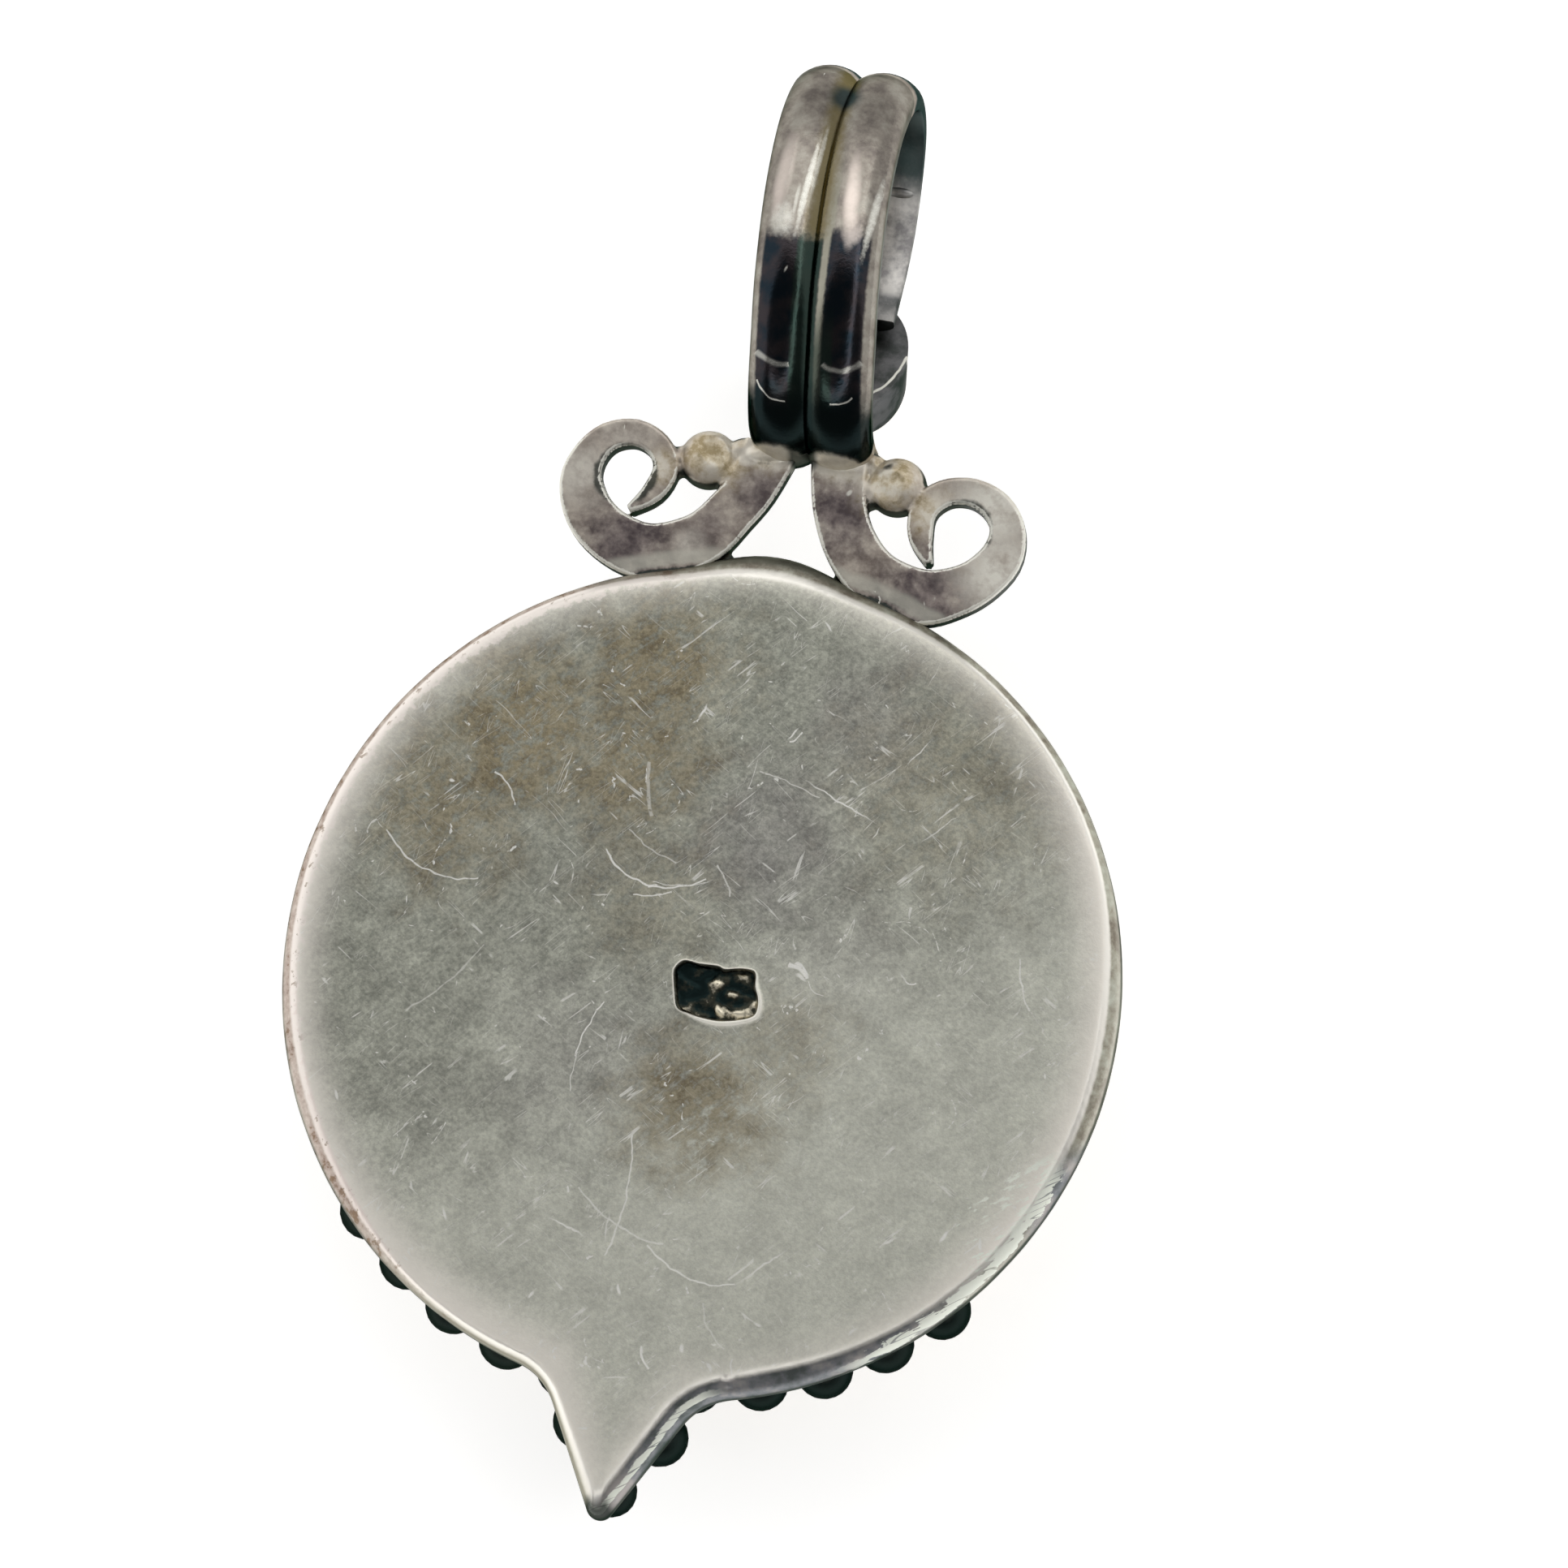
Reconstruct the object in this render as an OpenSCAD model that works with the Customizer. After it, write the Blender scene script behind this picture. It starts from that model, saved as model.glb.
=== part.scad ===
// Carved flower pendant, lying face down with its back upwards.
// The back face looks along +Z and the bail points along +Y.

/* [Body] */
// Radius of the round body at its widest, just below the back edge
body_r = 17.45; // [15:0.1:20]
// Height of the back face above the surface that the pendant lies on
back_z = 9.4; // [9:0.1:11]
// Thickness of the body from its back face to the shelf on its front
plate_t = 1.7; // [1.4:0.1:2.2]
// Distance from the middle of the body to the end of its tip
tip_reach = 22.6; // [21:0.1:25]
// Half of the angle between the straight sides of the tip
tip_half_angle = 28.5; // [22:0.5:34]
// Radius of the hollow curve between the round body and the tip
tip_fillet = 2.8; // [1.5:0.1:4]
// Radius of the rounded end of the tip
tip_round = 0.55; // [0.3:0.05:1]
// Sideways turn of the tip about the middle of the body
tip_lean = 0.8; // [-2:0.1:2]
// How far the wall bulges between the feet of the scrolls
top_rise = 0.65; // [0:0.05:1]

/* [Punched rectangle] */
// Size of the punched rectangle on the back, across and along
punch_size = [3.5, 2.4]; // [1:0.1:6]
// Depth of the punched rectangle
punch_depth = 0.35; // [0.1:0.05:0.6]
// Place of the punched rectangle, from the middle of the body
punch_at = [0.95, -0.55]; // [-8:0.05:8]
// Turn of the punched rectangle
punch_turn = 10; // [-45:1:45]

/* [Granules] */
// Diameter of a granule on the front shelf
granule_d = 2.4; // [1.5:0.05:2.8]
// Radius of the circle that the middles of the granules lie on
granule_ring_r = 16.85; // [15.5:0.05:17.5]
// Angle from one granule to the next
granule_step = 9.25; // [8.5:0.05:12]
// Number of granules on each side of the tip
tip_side_count = 5; // [1:1:8]
// Angle from the top to the granule on each side of it
top_granule_angle = 37; // [30:0.5:60]

/* [Scrolls] */
// Height of the flat back of the scroll strips
scroll_z = 8.85; // [8.2:0.05:9.2]
// Thickness of the scroll strips
scroll_t = 1.4; // [1:0.1:1.8]
// Diameter of the ball between the curl and the leg of a scroll
scroll_ball_d = 2.5; // [1.8:0.05:2.6]

/* [Bail] */
// Width of one half-round bail wire
wire_w = 2.65; // [2:0.05:3]
// Thickness of one half-round bail wire
wire_t = 1.4; // [1:0.05:1.8]
// Sideways lean of the bail for each millimetre upwards
bail_lean = 0.075; // [0:0.005:0.12]
// Growth of that lean for each millimetre towards the back of the bail
bail_twist = 0.008; // [0:0.001:0.012]
// Radius of the round setting on the front of the bail
setting_r = 2.4; // [2:0.05:2.8]
// Height of the wall of that setting
setting_h = 2.2; // [1.8:0.1:2.4]
// Tilt of that setting towards the tip
setting_tilt = 30; // [10:1:35]

/* [Flower] */
// Outer radius of the bezel that holds the flower
bezel_r = 15; // [14.5:0.1:15.4]
// Thickness of the bezel wall
bezel_t = 0.6; // [0.4:0.05:0.8]
// How far the bezel's edge stands past the rim of the stone
bezel_lip = 0.25; // [0.1:0.05:0.5]
// Gap between a stone and the silver round it
stone_gap = 0.1; // [0.05:0.01:0.2]

/* [Hidden] */

// Columns of the rows that follow the body from its back to its shelf
EDGE_DROP = 0;
EDGE_INSET = 1;
edge_rows = [
    [0, 1.6], [0.07, 1.05], [0.25, 0.66], [0.55, 0.42],
    [1.1, 0.08], [1.35, 0], [plate_t - 0.12, 0.04], [plate_t, 0.2]
];

// Columns of the scroll tables: middle of the strip across and along, and its width
SCROLL_X = 0;
SCROLL_Y = 1;
SCROLL_W = 2;
left_scroll = [
    [-1.4, 22.6, 2.35], [-1.9, 20.86, 2.15], [-2.6, 19.6, 2.15], [-3.45, 18.4, 2.3],
    [-4.75, 17.6, 2.4], [-6.0, 17.35, 2.4], [-7.45, 17.8, 2.25], [-8.5, 18.65, 2.1],
    [-9.1, 19.9, 1.8], [-8.95, 21.05, 1.45], [-8.3, 21.95, 1.25], [-7.2, 22.3, 1.15],
    [-6.15, 21.9, 1.1], [-5.65, 21.0, 1.1], [-6.0, 19.9, 0.95], [-6.85, 19.0, 0.4]
];
right_scroll = [
    [1.45, 22.85, 2.4], [1.7, 21.3, 2.3], [2.05, 20.15, 2.25], [2.7, 19.0, 2.3],
    [3.7, 18.0, 2.35], [4.85, 17.5, 2.4], [6.05, 17.35, 2.4], [7.2, 17.75, 2.15],
    [8.2, 18.45, 1.95], [8.95, 19.55, 1.8], [9.0, 20.75, 1.5], [8.4, 21.65, 1.35],
    [7.4, 22.1, 1.2], [6.35, 22.0, 1.15], [5.6, 21.45, 1.2], [5.35, 20.75, 1.15],
    [5.5, 19.8, 1.0], [6.0, 18.85, 0.5]
];
scroll_balls = [[-4.0, 21.75], [4.05, 21.9]];

// Columns of the bail's side view: along the pendant, and height
BAIL_Y = 0;
BAIL_Z = 1;
bail_path = [
    [22.9, 8.2], [23.4, 9.5], [24.6, 10.6], [26.5, 11.4], [29.2, 11.85], [33.0, 11.4],
    [36.2, 10.6], [38.4, 9.2], [39.05, 7.5], [37.8, 5.8], [34.6, 4.8], [31.0, 4.4],
    [27.6, 4.9], [25.0, 5.9], [23.5, 6.9]
];
bail_foot = [0.1, 22.4];
setting_at = [0.45, 28.4, 4.3];
setting_wall = 0.35;
setting_depth = 1.1;

// Columns of the petal table, from the outer ring to the bud
PETAL_COUNT = 0;
PETAL_TURN = 1;
PETAL_ROOT_R = 2;
PETAL_TIP_R = 3;
PETAL_HALF_W = 4;
PETAL_ROOT_H = 5;
PETAL_TIP_H = 6;
petal_rings = [
    [8, 22.5, 5.0, 14.1, 5.5, 0.6, 2.7],
    [7, 0, 3.0, 10.7, 4.6, 1.8, 4.6],
    [5, 30, 1.2, 7.0, 3.7, 2.4, 4.5],
    [3, 10, 0.2, 3.6, 2.3, 3.0, 4.2]
];
petal_cells = 6;
function petal_t(i) = (1 - cos(180 * i / petal_cells)) / 2;
function petal_s(j) = 2 * j / petal_cells - 1;

// Height of a petal above the rim of the stone, t from its root to its tip, s across it
function petal_h(ring, t, s) =
    ring[PETAL_ROOT_H] + (ring[PETAL_TIP_H] - ring[PETAL_ROOT_H]) * sin(90 * min(1, t * 1.15))
    - 0.5 * s * s - 0.35 * pow(t, 8) + 0.3 * s * t - 0.3 * t;

// The highest petals are what the pendant lies on
flower_rim_z = max([
    for (ring = petal_rings) for (i = [0:petal_cells]) for (j = [0:petal_cells])
        petal_h(ring, petal_t(i), petal_s(j))
]);

shelf_z = back_z - plate_t;
flower_top_z = shelf_z - stone_gap;
flower_r = bezel_r - bezel_t - stone_gap;
wedge_reach = tip_reach + tip_round * (1 / sin(tip_half_angle) - 1);
wedge_d = wedge_reach * sin(tip_half_angle);
fillet_angle = acos((wedge_d + tip_fillet) / (body_r + tip_fillet));
bail_top_y = max([for (p = bail_path) p[BAIL_Y]]) + wire_t / 2;
mid_y = (bail_top_y - tip_reach) / 2;
top_rise_angle = 15;
arc_cells = 84;
corner_cells = 5;
path_cells = 3;

function arc(c, r, a0, a1, n) =
    [for (i = [0:n]) let (a = a0 + (a1 - a0) * i / n) c + r * [cos(a), sin(a)]];

// Radius of the round part, with the bulge of its wall at the top
function rim_r(a, d) =
    let (off = abs(a - 90) / top_rise_angle)
    body_r - d + (off < 1 ? top_rise * pow(cos(90 * off), 2) * max(0, 1 - d / 1.2) : 0);

// Outline of the body, set in by d from its widest one
function body_outline(d) =
    let (
        hub_a = -tip_half_angle - fillet_angle,
        hub = (body_r + tip_fillet) * [cos(hub_a), sin(hub_a)],
        mirror_hub = [-hub[0], hub[1]],
        end_r = max(tip_round - d, 0.06),
        end_y = -(wedge_d - d - end_r) / sin(tip_half_angle)
    )
    concat(
        [
            for (i = [0:arc_cells])
                let (a = hub_a + (180 - 2 * hub_a) * i / arc_cells)
                rim_r(a, d) * [cos(a), sin(a)]
        ],
        arc(mirror_hub, tip_fillet + d, -hub_a, tip_half_angle, corner_cells),
        arc([0, end_y], end_r, 180 + tip_half_angle, 360 - tip_half_angle, corner_cells),
        arc(hub, tip_fillet + d, 180 - tip_half_angle, 180 + hub_a, corner_cells)
    );

// Point between b and c on a smooth curve through a, b, c and e
function between(a, b, c, e, t) =
    b + 0.5 * t * (c - a + t * (2 * a - 5 * b + 4 * c - e + t * (3 * (b - c) + e - a)));

// Point on a smooth curve through the rows of a table, u in rows from its start
function on_curve(rows, u) =
    let (last = len(rows) - 1, i = min(floor(u), last - 1))
    between(rows[max(i - 1, 0)], rows[i], rows[i + 1], rows[min(i + 2, last)], u - i);

function on_loop(rows, u) =
    let (n = len(rows), i = floor(u))
    between(rows[(i + n - 1) % n], rows[i % n], rows[(i + 1) % n], rows[(i + 2) % n], u - i);

function smooth(rows, n) = [for (k = [0:(len(rows) - 1) * n]) on_curve(rows, k / n)];

// Closed solid through a list of rings with the same number of points
module loft(rings, closed = false) {
    n = len(rings[0]);
    count = len(rings);
    points = [for (ring = rings) for (p = ring) p];
    sides = [
        for (j = [0:count - (closed ? 1 : 2)]) for (i = [0:n - 1])
            let (k = (i + 1) % n, up = (j + 1) % count)
            [j * n + i, j * n + k, up * n + k, up * n + i]
    ];
    caps = closed ? [] : [[for (i = [n - 1:-1:0]) i], [for (i = [0:n - 1]) (count - 1) * n + i]];
    polyhedron(points, concat(sides, caps), convexity = 8);
}

module body_plate() {
    rings = [
        for (row = edge_rows)
            [for (p = body_outline(row[EDGE_INSET])) [p[0], p[1], back_z - row[EDGE_DROP]]]
    ];
    rotate(tip_lean) loft(rings);
}

module ball(d, sides) {
    hull()
        for (a = [-80:32:80])
            translate([0, 0, d / 2 * sin(a)])
                cylinder(d = d * cos(a), h = 0.01, center = true, $fn = sides);
}

module punch_block(grow, h) {
    corner_r = 0.35;
    translate([punch_at[0], punch_at[1], back_z])
        rotate(punch_turn)
            linear_extrude(h, center = true)
                hull()
                    for (x = [-1, 1], y = [-1, 1])
                        translate([x * punch_size[0] / 2, y * punch_size[1] / 2])
                            translate([-x * corner_r, -y * corner_r])
                                circle(corner_r + grow, $fn = 16);
}

module granule(x, y, d) {
    translate([x, y, shelf_z - d * 0.43]) ball(d, 12);
}

module granules() {
    for (k = [-tip_side_count:tip_side_count])
        rotate(tip_lean + k * granule_step) granule(0, -granule_ring_r, granule_d);
    for (side = [-1, 1])
        rotate(180 + side * top_granule_angle) granule(0, -granule_ring_r, granule_d);
    pair_y = granule_ring_r + granule_d * 0.87;
    rotate(tip_lean) {
        for (side = [-1, 1]) granule(side * granule_d * 0.62, -pair_y, granule_d);
        granule(0.25, -pair_y - granule_d, granule_d * 0.9);
    }
}

module bezel() {
    bezel_h = shelf_z - flower_rim_z + bezel_lip;
    translate([0, 0, flower_rim_z - bezel_lip])
        difference() {
            cylinder(r = bezel_r, h = bezel_h + 0.3, $fn = 90);
            translate([0, 0, -1]) cylinder(r = bezel_r - bezel_t, h = bezel_h + 1, $fn = 90);
        }
}

// Section of a scroll strip of width w: across it, and down from its flat back
function strip_section(w) = [
    [w / 2, -0.08], [w / 2 - 0.08, 0], [-w / 2 + 0.08, 0], [-w / 2, -0.08],
    [-w / 2, -0.6 * scroll_t], [-0.3 * w, -scroll_t], [0.3 * w, -scroll_t], [w / 2, -0.6 * scroll_t]
];

module scroll(rows) {
    path = smooth(rows, 2);
    last = len(path) - 1;
    rings = [
        for (i = [0:last])
            let (
                p = path[i],
                step = path[min(i + 1, last)] - path[max(i - 1, 0)],
                across = [step[SCROLL_Y], -step[SCROLL_X]] / norm([step[0], step[1]])
            )
            [
                for (s = strip_section(p[SCROLL_W]))
                    [p[SCROLL_X] + across[0] * s[0], p[SCROLL_Y] + across[1] * s[0], scroll_z + s[1]]
            ]
    ];
    loft(rings);
}

module scroll_work() {
    scroll(left_scroll);
    scroll(right_scroll);
    for (p = scroll_balls)
        translate([p[0], p[1], scroll_z - scroll_t / 2]) ball(scroll_ball_d, 16);
}

function bail_x(p) =
    bail_foot[0] - (p[BAIL_Y] - bail_foot[1]) * (bail_lean + bail_twist * (p[BAIL_Z] - scroll_z));

// Section of the two half-round wires side by side: across the bail, and outwards from its inside
bail_section = [
    for (side = [1, -1])
        for (a = [90:-22.5:side > 0 ? -67.5 : -90])
            [wire_w / 2 * (side + sin(a)), wire_t * (0.7 * cos(a) - 0.2)],
    [-wire_w, -wire_t / 2],
    [wire_w, -wire_t / 2]
];

module bail_loop() {
    path = [for (k = [0:len(bail_path) * path_cells - 1]) on_loop(bail_path, k / path_cells)];
    n = len(path);
    rings = [
        for (i = [0:n - 1])
            let (
                p = path[i],
                step = path[(i + 1) % n] - path[(i + n - 1) % n],
                out = [-step[1], step[0]] / norm(step)
            )
            [
                for (s = bail_section)
                    [bail_x(p) + s[0], p[BAIL_Y] + out[0] * s[1], p[BAIL_Z] + out[1] * s[1]]
            ]
    ];
    loft(rings, closed = true);
}

module on_bail_front() {
    translate(setting_at) rotate([180 - setting_tilt, 0, 0]) children();
}

module setting() {
    on_bail_front()
        difference() {
            cylinder(r = setting_r, h = setting_h, $fn = 32);
            translate([0, 0, setting_h - setting_depth])
                cylinder(r = setting_r - setting_wall, h = setting_depth + 1, $fn = 32);
        }
}

module bail() {
    bail_loop();
    setting();
}

module silver_mount() {
    color("silver")
        translate([0, -mid_y, 0]) {
            difference() {
                union() {
                    body_plate();
                    punch_block(0.25, 0.16);
                }
                punch_block(0, 2 * punch_depth);
            }
            bezel();
            granules();
            scroll_work();
            bail();
        }
}

module petal(ring) {
    n = petal_cells;
    root = ring[PETAL_ROOT_R];
    reach = ring[PETAL_TIP_R] - root;
    points = [
        for (under = [0, 1]) for (i = [0:n]) for (j = [0:n])
            let (
                t = petal_t(i),
                s = petal_s(j),
                half_w = ring[PETAL_HALF_W] * (0.12 + 0.88 * pow(sin(min(180 * i / n, 179.9)), 0.75)),
                notch = 0.05 * pow(t, 6) * (1 - s * s),
                x = root + reach * (t - notch)
            )
            [x, s * half_w, under == 1 ? -0.4 : petal_h(ring, t, s)]
    ];
    m = (n + 1) * (n + 1);
    rim = concat(
        [for (j = [0:n]) j],
        [for (i = [1:n]) i * (n + 1) + n],
        [for (j = [n - 1:-1:0]) n * (n + 1) + j],
        [for (i = [n - 1:-1:1]) i * (n + 1)]
    );
    tops = [
        for (i = [0:n - 1]) for (j = [0:n - 1]) let (k = i * (n + 1) + j)
            [k, k + 1, k + n + 2, k + n + 1]
    ];
    sides = [
        for (e = [0:len(rim) - 1]) let (b = rim[(e + 1) % len(rim)])
            [rim[e], rim[e] + m, b + m, b]
    ];
    base = [[for (e = [len(rim) - 1:-1:0]) rim[e] + m]];
    polyhedron(points, concat(tops, sides, base), convexity = 4);
}

module carved_flower() {
    color("ivory")
        translate([0, -mid_y, 0]) {
            translate([0, 0, flower_rim_z])
                cylinder(r = flower_r, h = flower_top_z - flower_rim_z, $fn = 90);
            for (ring = petal_rings)
                for (k = [1:ring[PETAL_COUNT]])
                    translate([0, 0, flower_rim_z])
                        mirror([0, 0, 1])
                            rotate(ring[PETAL_TURN] + 360 * k / ring[PETAL_COUNT])
                                petal(ring);
        }
}

module bail_stone() {
    r = setting_r - setting_wall - stone_gap;
    foot_h = setting_h - setting_depth + stone_gap;
    dome = 0.9;
    ball_r = (r * r + dome * dome) / (2 * dome);
    color("ivory")
        translate([0, -mid_y, 0])
            on_bail_front() {
                translate([0, 0, foot_h]) cylinder(r = r, h = setting_h - foot_h, $fn = 32);
                translate([0, 0, setting_h])
                    intersection() {
                        translate([0, 0, dome - ball_r]) sphere(ball_r, $fn = 32);
                        cylinder(r = r, h = dome + 1, $fn = 32);
                    }
            }
}

silver_mount();
carved_flower();
bail_stone();
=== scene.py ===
import math
from bisect import bisect

import bmesh
import bpy
from mathutils import Matrix, Vector, noise


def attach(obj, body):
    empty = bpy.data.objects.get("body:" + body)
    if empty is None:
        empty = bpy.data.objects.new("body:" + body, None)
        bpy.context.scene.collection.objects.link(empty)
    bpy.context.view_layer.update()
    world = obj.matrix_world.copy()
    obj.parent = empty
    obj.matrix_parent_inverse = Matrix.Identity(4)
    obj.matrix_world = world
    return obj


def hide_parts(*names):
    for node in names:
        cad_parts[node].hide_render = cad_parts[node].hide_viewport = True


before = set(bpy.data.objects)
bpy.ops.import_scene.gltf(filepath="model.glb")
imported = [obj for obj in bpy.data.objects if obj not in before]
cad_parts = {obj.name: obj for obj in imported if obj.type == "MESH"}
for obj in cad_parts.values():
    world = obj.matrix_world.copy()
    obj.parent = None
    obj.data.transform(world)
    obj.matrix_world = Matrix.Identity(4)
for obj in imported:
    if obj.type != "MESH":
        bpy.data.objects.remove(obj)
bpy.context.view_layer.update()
mm = 0.001
bodyMiddle = Vector((0, -8.575, 0)) * mm  # the parts are drawn about the middle of the round body


# Small helpers, all sizes in millimetres

def clearAll():
    if bpy.context.mode != "OBJECT":
        bpy.ops.object.mode_set(mode="OBJECT")
    bpy.ops.object.select_all(action="DESELECT")


def takeUp(*pieces):
    clearAll()
    for piece in pieces:
        piece.select_set(True)
    bpy.context.view_layer.objects.active = pieces[0]
    return pieces[0]


def openUp(piece):
    # edit mode with nothing picked
    bpy.ops.object.mode_set(mode="EDIT")
    bpy.ops.mesh.select_all(action="DESELECT")
    return bmesh.from_edit_mesh(piece.data)


def placePicked(piece, ring):
    sheet = bmesh.from_edit_mesh(piece.data)
    picked = [v for v in sheet.verts if v.select]
    for v, spot in zip(picked, ring):
        v.co = Vector(spot) * mm
    bmesh.update_edit_mesh(piece.data)


def drawThrough(name, rings, closed=False):
    # one outline is drawn, then extruded from ring to ring
    clearAll()
    bpy.ops.mesh.primitive_circle_add(vertices=len(rings[0]), radius=mm, fill_type="NGON")
    piece = bpy.context.object
    piece.name = name
    bpy.ops.object.mode_set(mode="EDIT")
    bpy.ops.mesh.select_all(action="SELECT")
    placePicked(piece, rings[0])
    for ring in rings[1:]:
        bpy.ops.mesh.extrude_region_move()
        placePicked(piece, ring)
    if closed:
        bpy.ops.mesh.extrude_region_move()
        placePicked(piece, rings[0])
        sheet = bmesh.from_edit_mesh(piece.data)
        for face in sheet.faces:
            face.select = len(face.verts) == len(rings[0])
        bpy.ops.mesh.delete(type="ONLY_FACE")
        bpy.ops.mesh.select_all(action="SELECT")
        bpy.ops.mesh.remove_doubles(threshold=1e-7)
    bpy.ops.mesh.select_all(action="SELECT")
    bpy.ops.mesh.normals_make_consistent(inside=False)
    clearAll()
    return piece


def finishWith(piece, kind, **settings):
    takeUp(piece)
    mod = piece.modifiers.new(kind.title(), kind)
    for key, value in settings.items():
        setattr(mod, key, value)
    bpy.ops.object.modifier_apply(modifier=mod.name)
    return piece


def softenEdges(piece, width, segments):
    return finishWith(piece, "BEVEL", width=width * mm, segments=segments, limit_method="ANGLE",
                      angle_limit=math.radians(50))


def copyOf(first):
    one = first.copy()
    one.data = first.data.copy()
    bpy.context.collection.objects.link(one)
    return one


def fuse(pieces, name):
    takeUp(*pieces)
    if len(pieces) > 1:
        bpy.ops.object.join()
    whole = bpy.context.object
    whole.name = name
    return whole


def settle(piece, angle=40):
    # places the piece in the pendant, with its place in its mesh
    takeUp(piece)
    piece.location += bodyMiddle
    bpy.ops.object.transform_apply()
    bpy.ops.object.shade_smooth_by_angle(angle=math.radians(angle))
    return piece


def between(a, b, c, e, t):
    return b + 0.5 * t * (c - a + t * (2 * a - 5 * b + 4 * c - e + t * (3 * (b - c) + e - a)))


def smoothRows(rows, steps):
    rows = [Vector(row) for row in rows]
    last = len(rows) - 1
    made = []
    for k in range(last * steps + 1):
        i = min(k // steps, last - 1)
        near = [rows[max(i - 1, 0)], rows[i], rows[i + 1], rows[min(i + 2, last)]]
        made.append(between(*near, k / steps - i))
    return made


# Round body: back plate with its punched hollow, rounded edge, wall, tip and front shelf

body = {
    "radius": 17.45, "backHeight": 9.4, "tipReach": 22.6, "tipHalfAngle": 28.5,
    "tipFillet": 2.8, "tipRound": 0.55, "tipLean": 0.8, "rise": 0.65, "riseAngle": 15,
    # drop below the back and inset from the widest line, from the plate to the shelf
    "edge": [(0, 2.9), (0.006, 2.4), (0.02, 1.95), (0.045, 1.55), (0.08, 1.28), (0.14, 1.05), (0.24, 0.8),
             (0.36, 0.54), (0.5, 0.3), (0.68, 0.12), (0.95, 0.02), (1.25, 0), (1.5, 0.03), (1.68, 0.16), (1.7, 0.5)],
    # share of those insets at degrees round the outline, from the tip and its right flank to its left one
    "edgeShares": [(-91, 0.5), (-87, 0.7), (-75, 0.75), (-68, 0.8), (-55, 0.64), (-38, 0.52), (-20, 0.57), (3, 0.62),
                   (18, 0.45), (30, 0.34), (60, 0.4), (75, 0.56), (90, 0.64), (105, 0.56), (120, 0.42), (150, 0.44),
                   (180, 0.55), (205, 0.68), (225, 0.58), (238, 0.36), (250, 0.32), (265, 0.38), (269, 0.5)],
    "arcCells": 216, "cornerCells": 14, "plateRings": 24, "dishing": 0.035,
}

punch = {
    "at": (0.95, -0.6), "depth": 0.34, "unevenness": 0.2, "heavySide": (0.6, -0.8),
    # growth past the outline and height over the back, from the floor's edge up the wall and over the bruised lip
    "wall": [(-0.11, -0.33), (-0.06, -0.24), (-0.01, -0.06), (0.01, 0.02), (0.035, 0.042), (0.065, 0.04), (0.1, 0.012),
             (0.2, 0)],
    # outline from the plate's middle
    "outline": [(-0.93, -0.09), (-0.88, 0.2), (-0.57, 0.5), (0.08, 0.46), (0.81, 0.5), (1.14, 0.42), (1.75, 0.56),
                (2.28, 0.57), (2.44, 0.36), (2.5, -0.07), (2.68, -0.45), (2.76, -0.85), (2.68, -1.25),
                (2.23, -1.5), (1.36, -1.72), (0.53, -1.72), (0.0, -1.64), (-0.4, -1.56), (-0.6, -1.32), (-0.78, -0.7)],
}


def tipWedge():
    # half angle of the tip, and how far its flanks are from the body's middle
    half = math.radians(body["tipHalfAngle"])
    return half, (body["tipReach"] + body["tipRound"] * (1 / math.sin(half) - 1)) * math.sin(half)


def bodyOutline(d, height):
    half, wedge = tipWedge()
    r, fillet = body["radius"], body["tipFillet"]
    hubAngle = -half - math.acos((wedge + fillet) / (r + fillet))
    hub = (r + fillet) * Vector((math.cos(hubAngle), math.sin(hubAngle)))
    endR = max(body["tipRound"] - d, 0.06)
    endY = -(wedge - d - endR) / math.sin(half)

    def arc(cx, cy, radius, a0, a1, cells):
        angles = [a0 + (a1 - a0) * i / cells for i in range(cells + 1)]
        return [Vector((cx + radius * math.cos(a), cy + radius * math.sin(a))) for a in angles]

    spots = []
    for i in range(body["arcCells"] + 1):
        a = hubAngle + (math.pi - 2 * hubAngle) * i / body["arcCells"]
        off = abs(math.degrees(a) - 90) / body["riseAngle"]
        swell = body["rise"] * math.cos(math.radians(90 * off)) ** 2 * max(0, 1 - d / 1.2) if off < 1 else 0
        spots.append((r - d + swell) * Vector((math.cos(a), math.sin(a))))
    spots += arc(-hub.x, hub.y, fillet + d, -hubAngle, half, body["cornerCells"])
    spots += arc(0, endY, endR, math.pi + half, 2 * math.pi - half, body["cornerCells"])
    spots += arc(hub.x, hub.y, fillet + d, math.pi - half, math.pi + hubAngle, body["cornerCells"])
    lean = Matrix.Rotation(math.radians(body["tipLean"]), 2)
    return [Vector((*(lean @ spot), height)) for spot in spots]


def handmade(spot):
    # the slight unevenness of a filed and hammered edge and plate
    slow = noise.noise(Vector((spot.x, spot.y, 0)) * 0.16 + Vector((3, 1, 0)))
    quick = noise.noise(Vector((spot.x, spot.y, spot.z)) * 0.9)
    return slow, quick


def punchReach():
    # how far the punch's outline is from its middle, by direction
    middle, spots = Vector(punch["at"]), punch["outline"]
    path = [spot - middle for spot in smoothRows(spots[-2:] + spots + spots[:2], 4)]
    polar = sorted((math.atan2(spot.y, spot.x), spot.length) for spot in path)
    turn = 2 * math.pi
    polar = [(polar[-1][0] - turn, polar[-1][1]), *polar, (polar[0][0] + turn, polar[0][1])]

    def reach(angle):
        k = bisect(polar, (angle, 0))
        (a, near), (b, far) = polar[k - 1], polar[k]
        return near + (far - near) * (angle - a) / max(b - a, 1e-6)

    return reach


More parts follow.
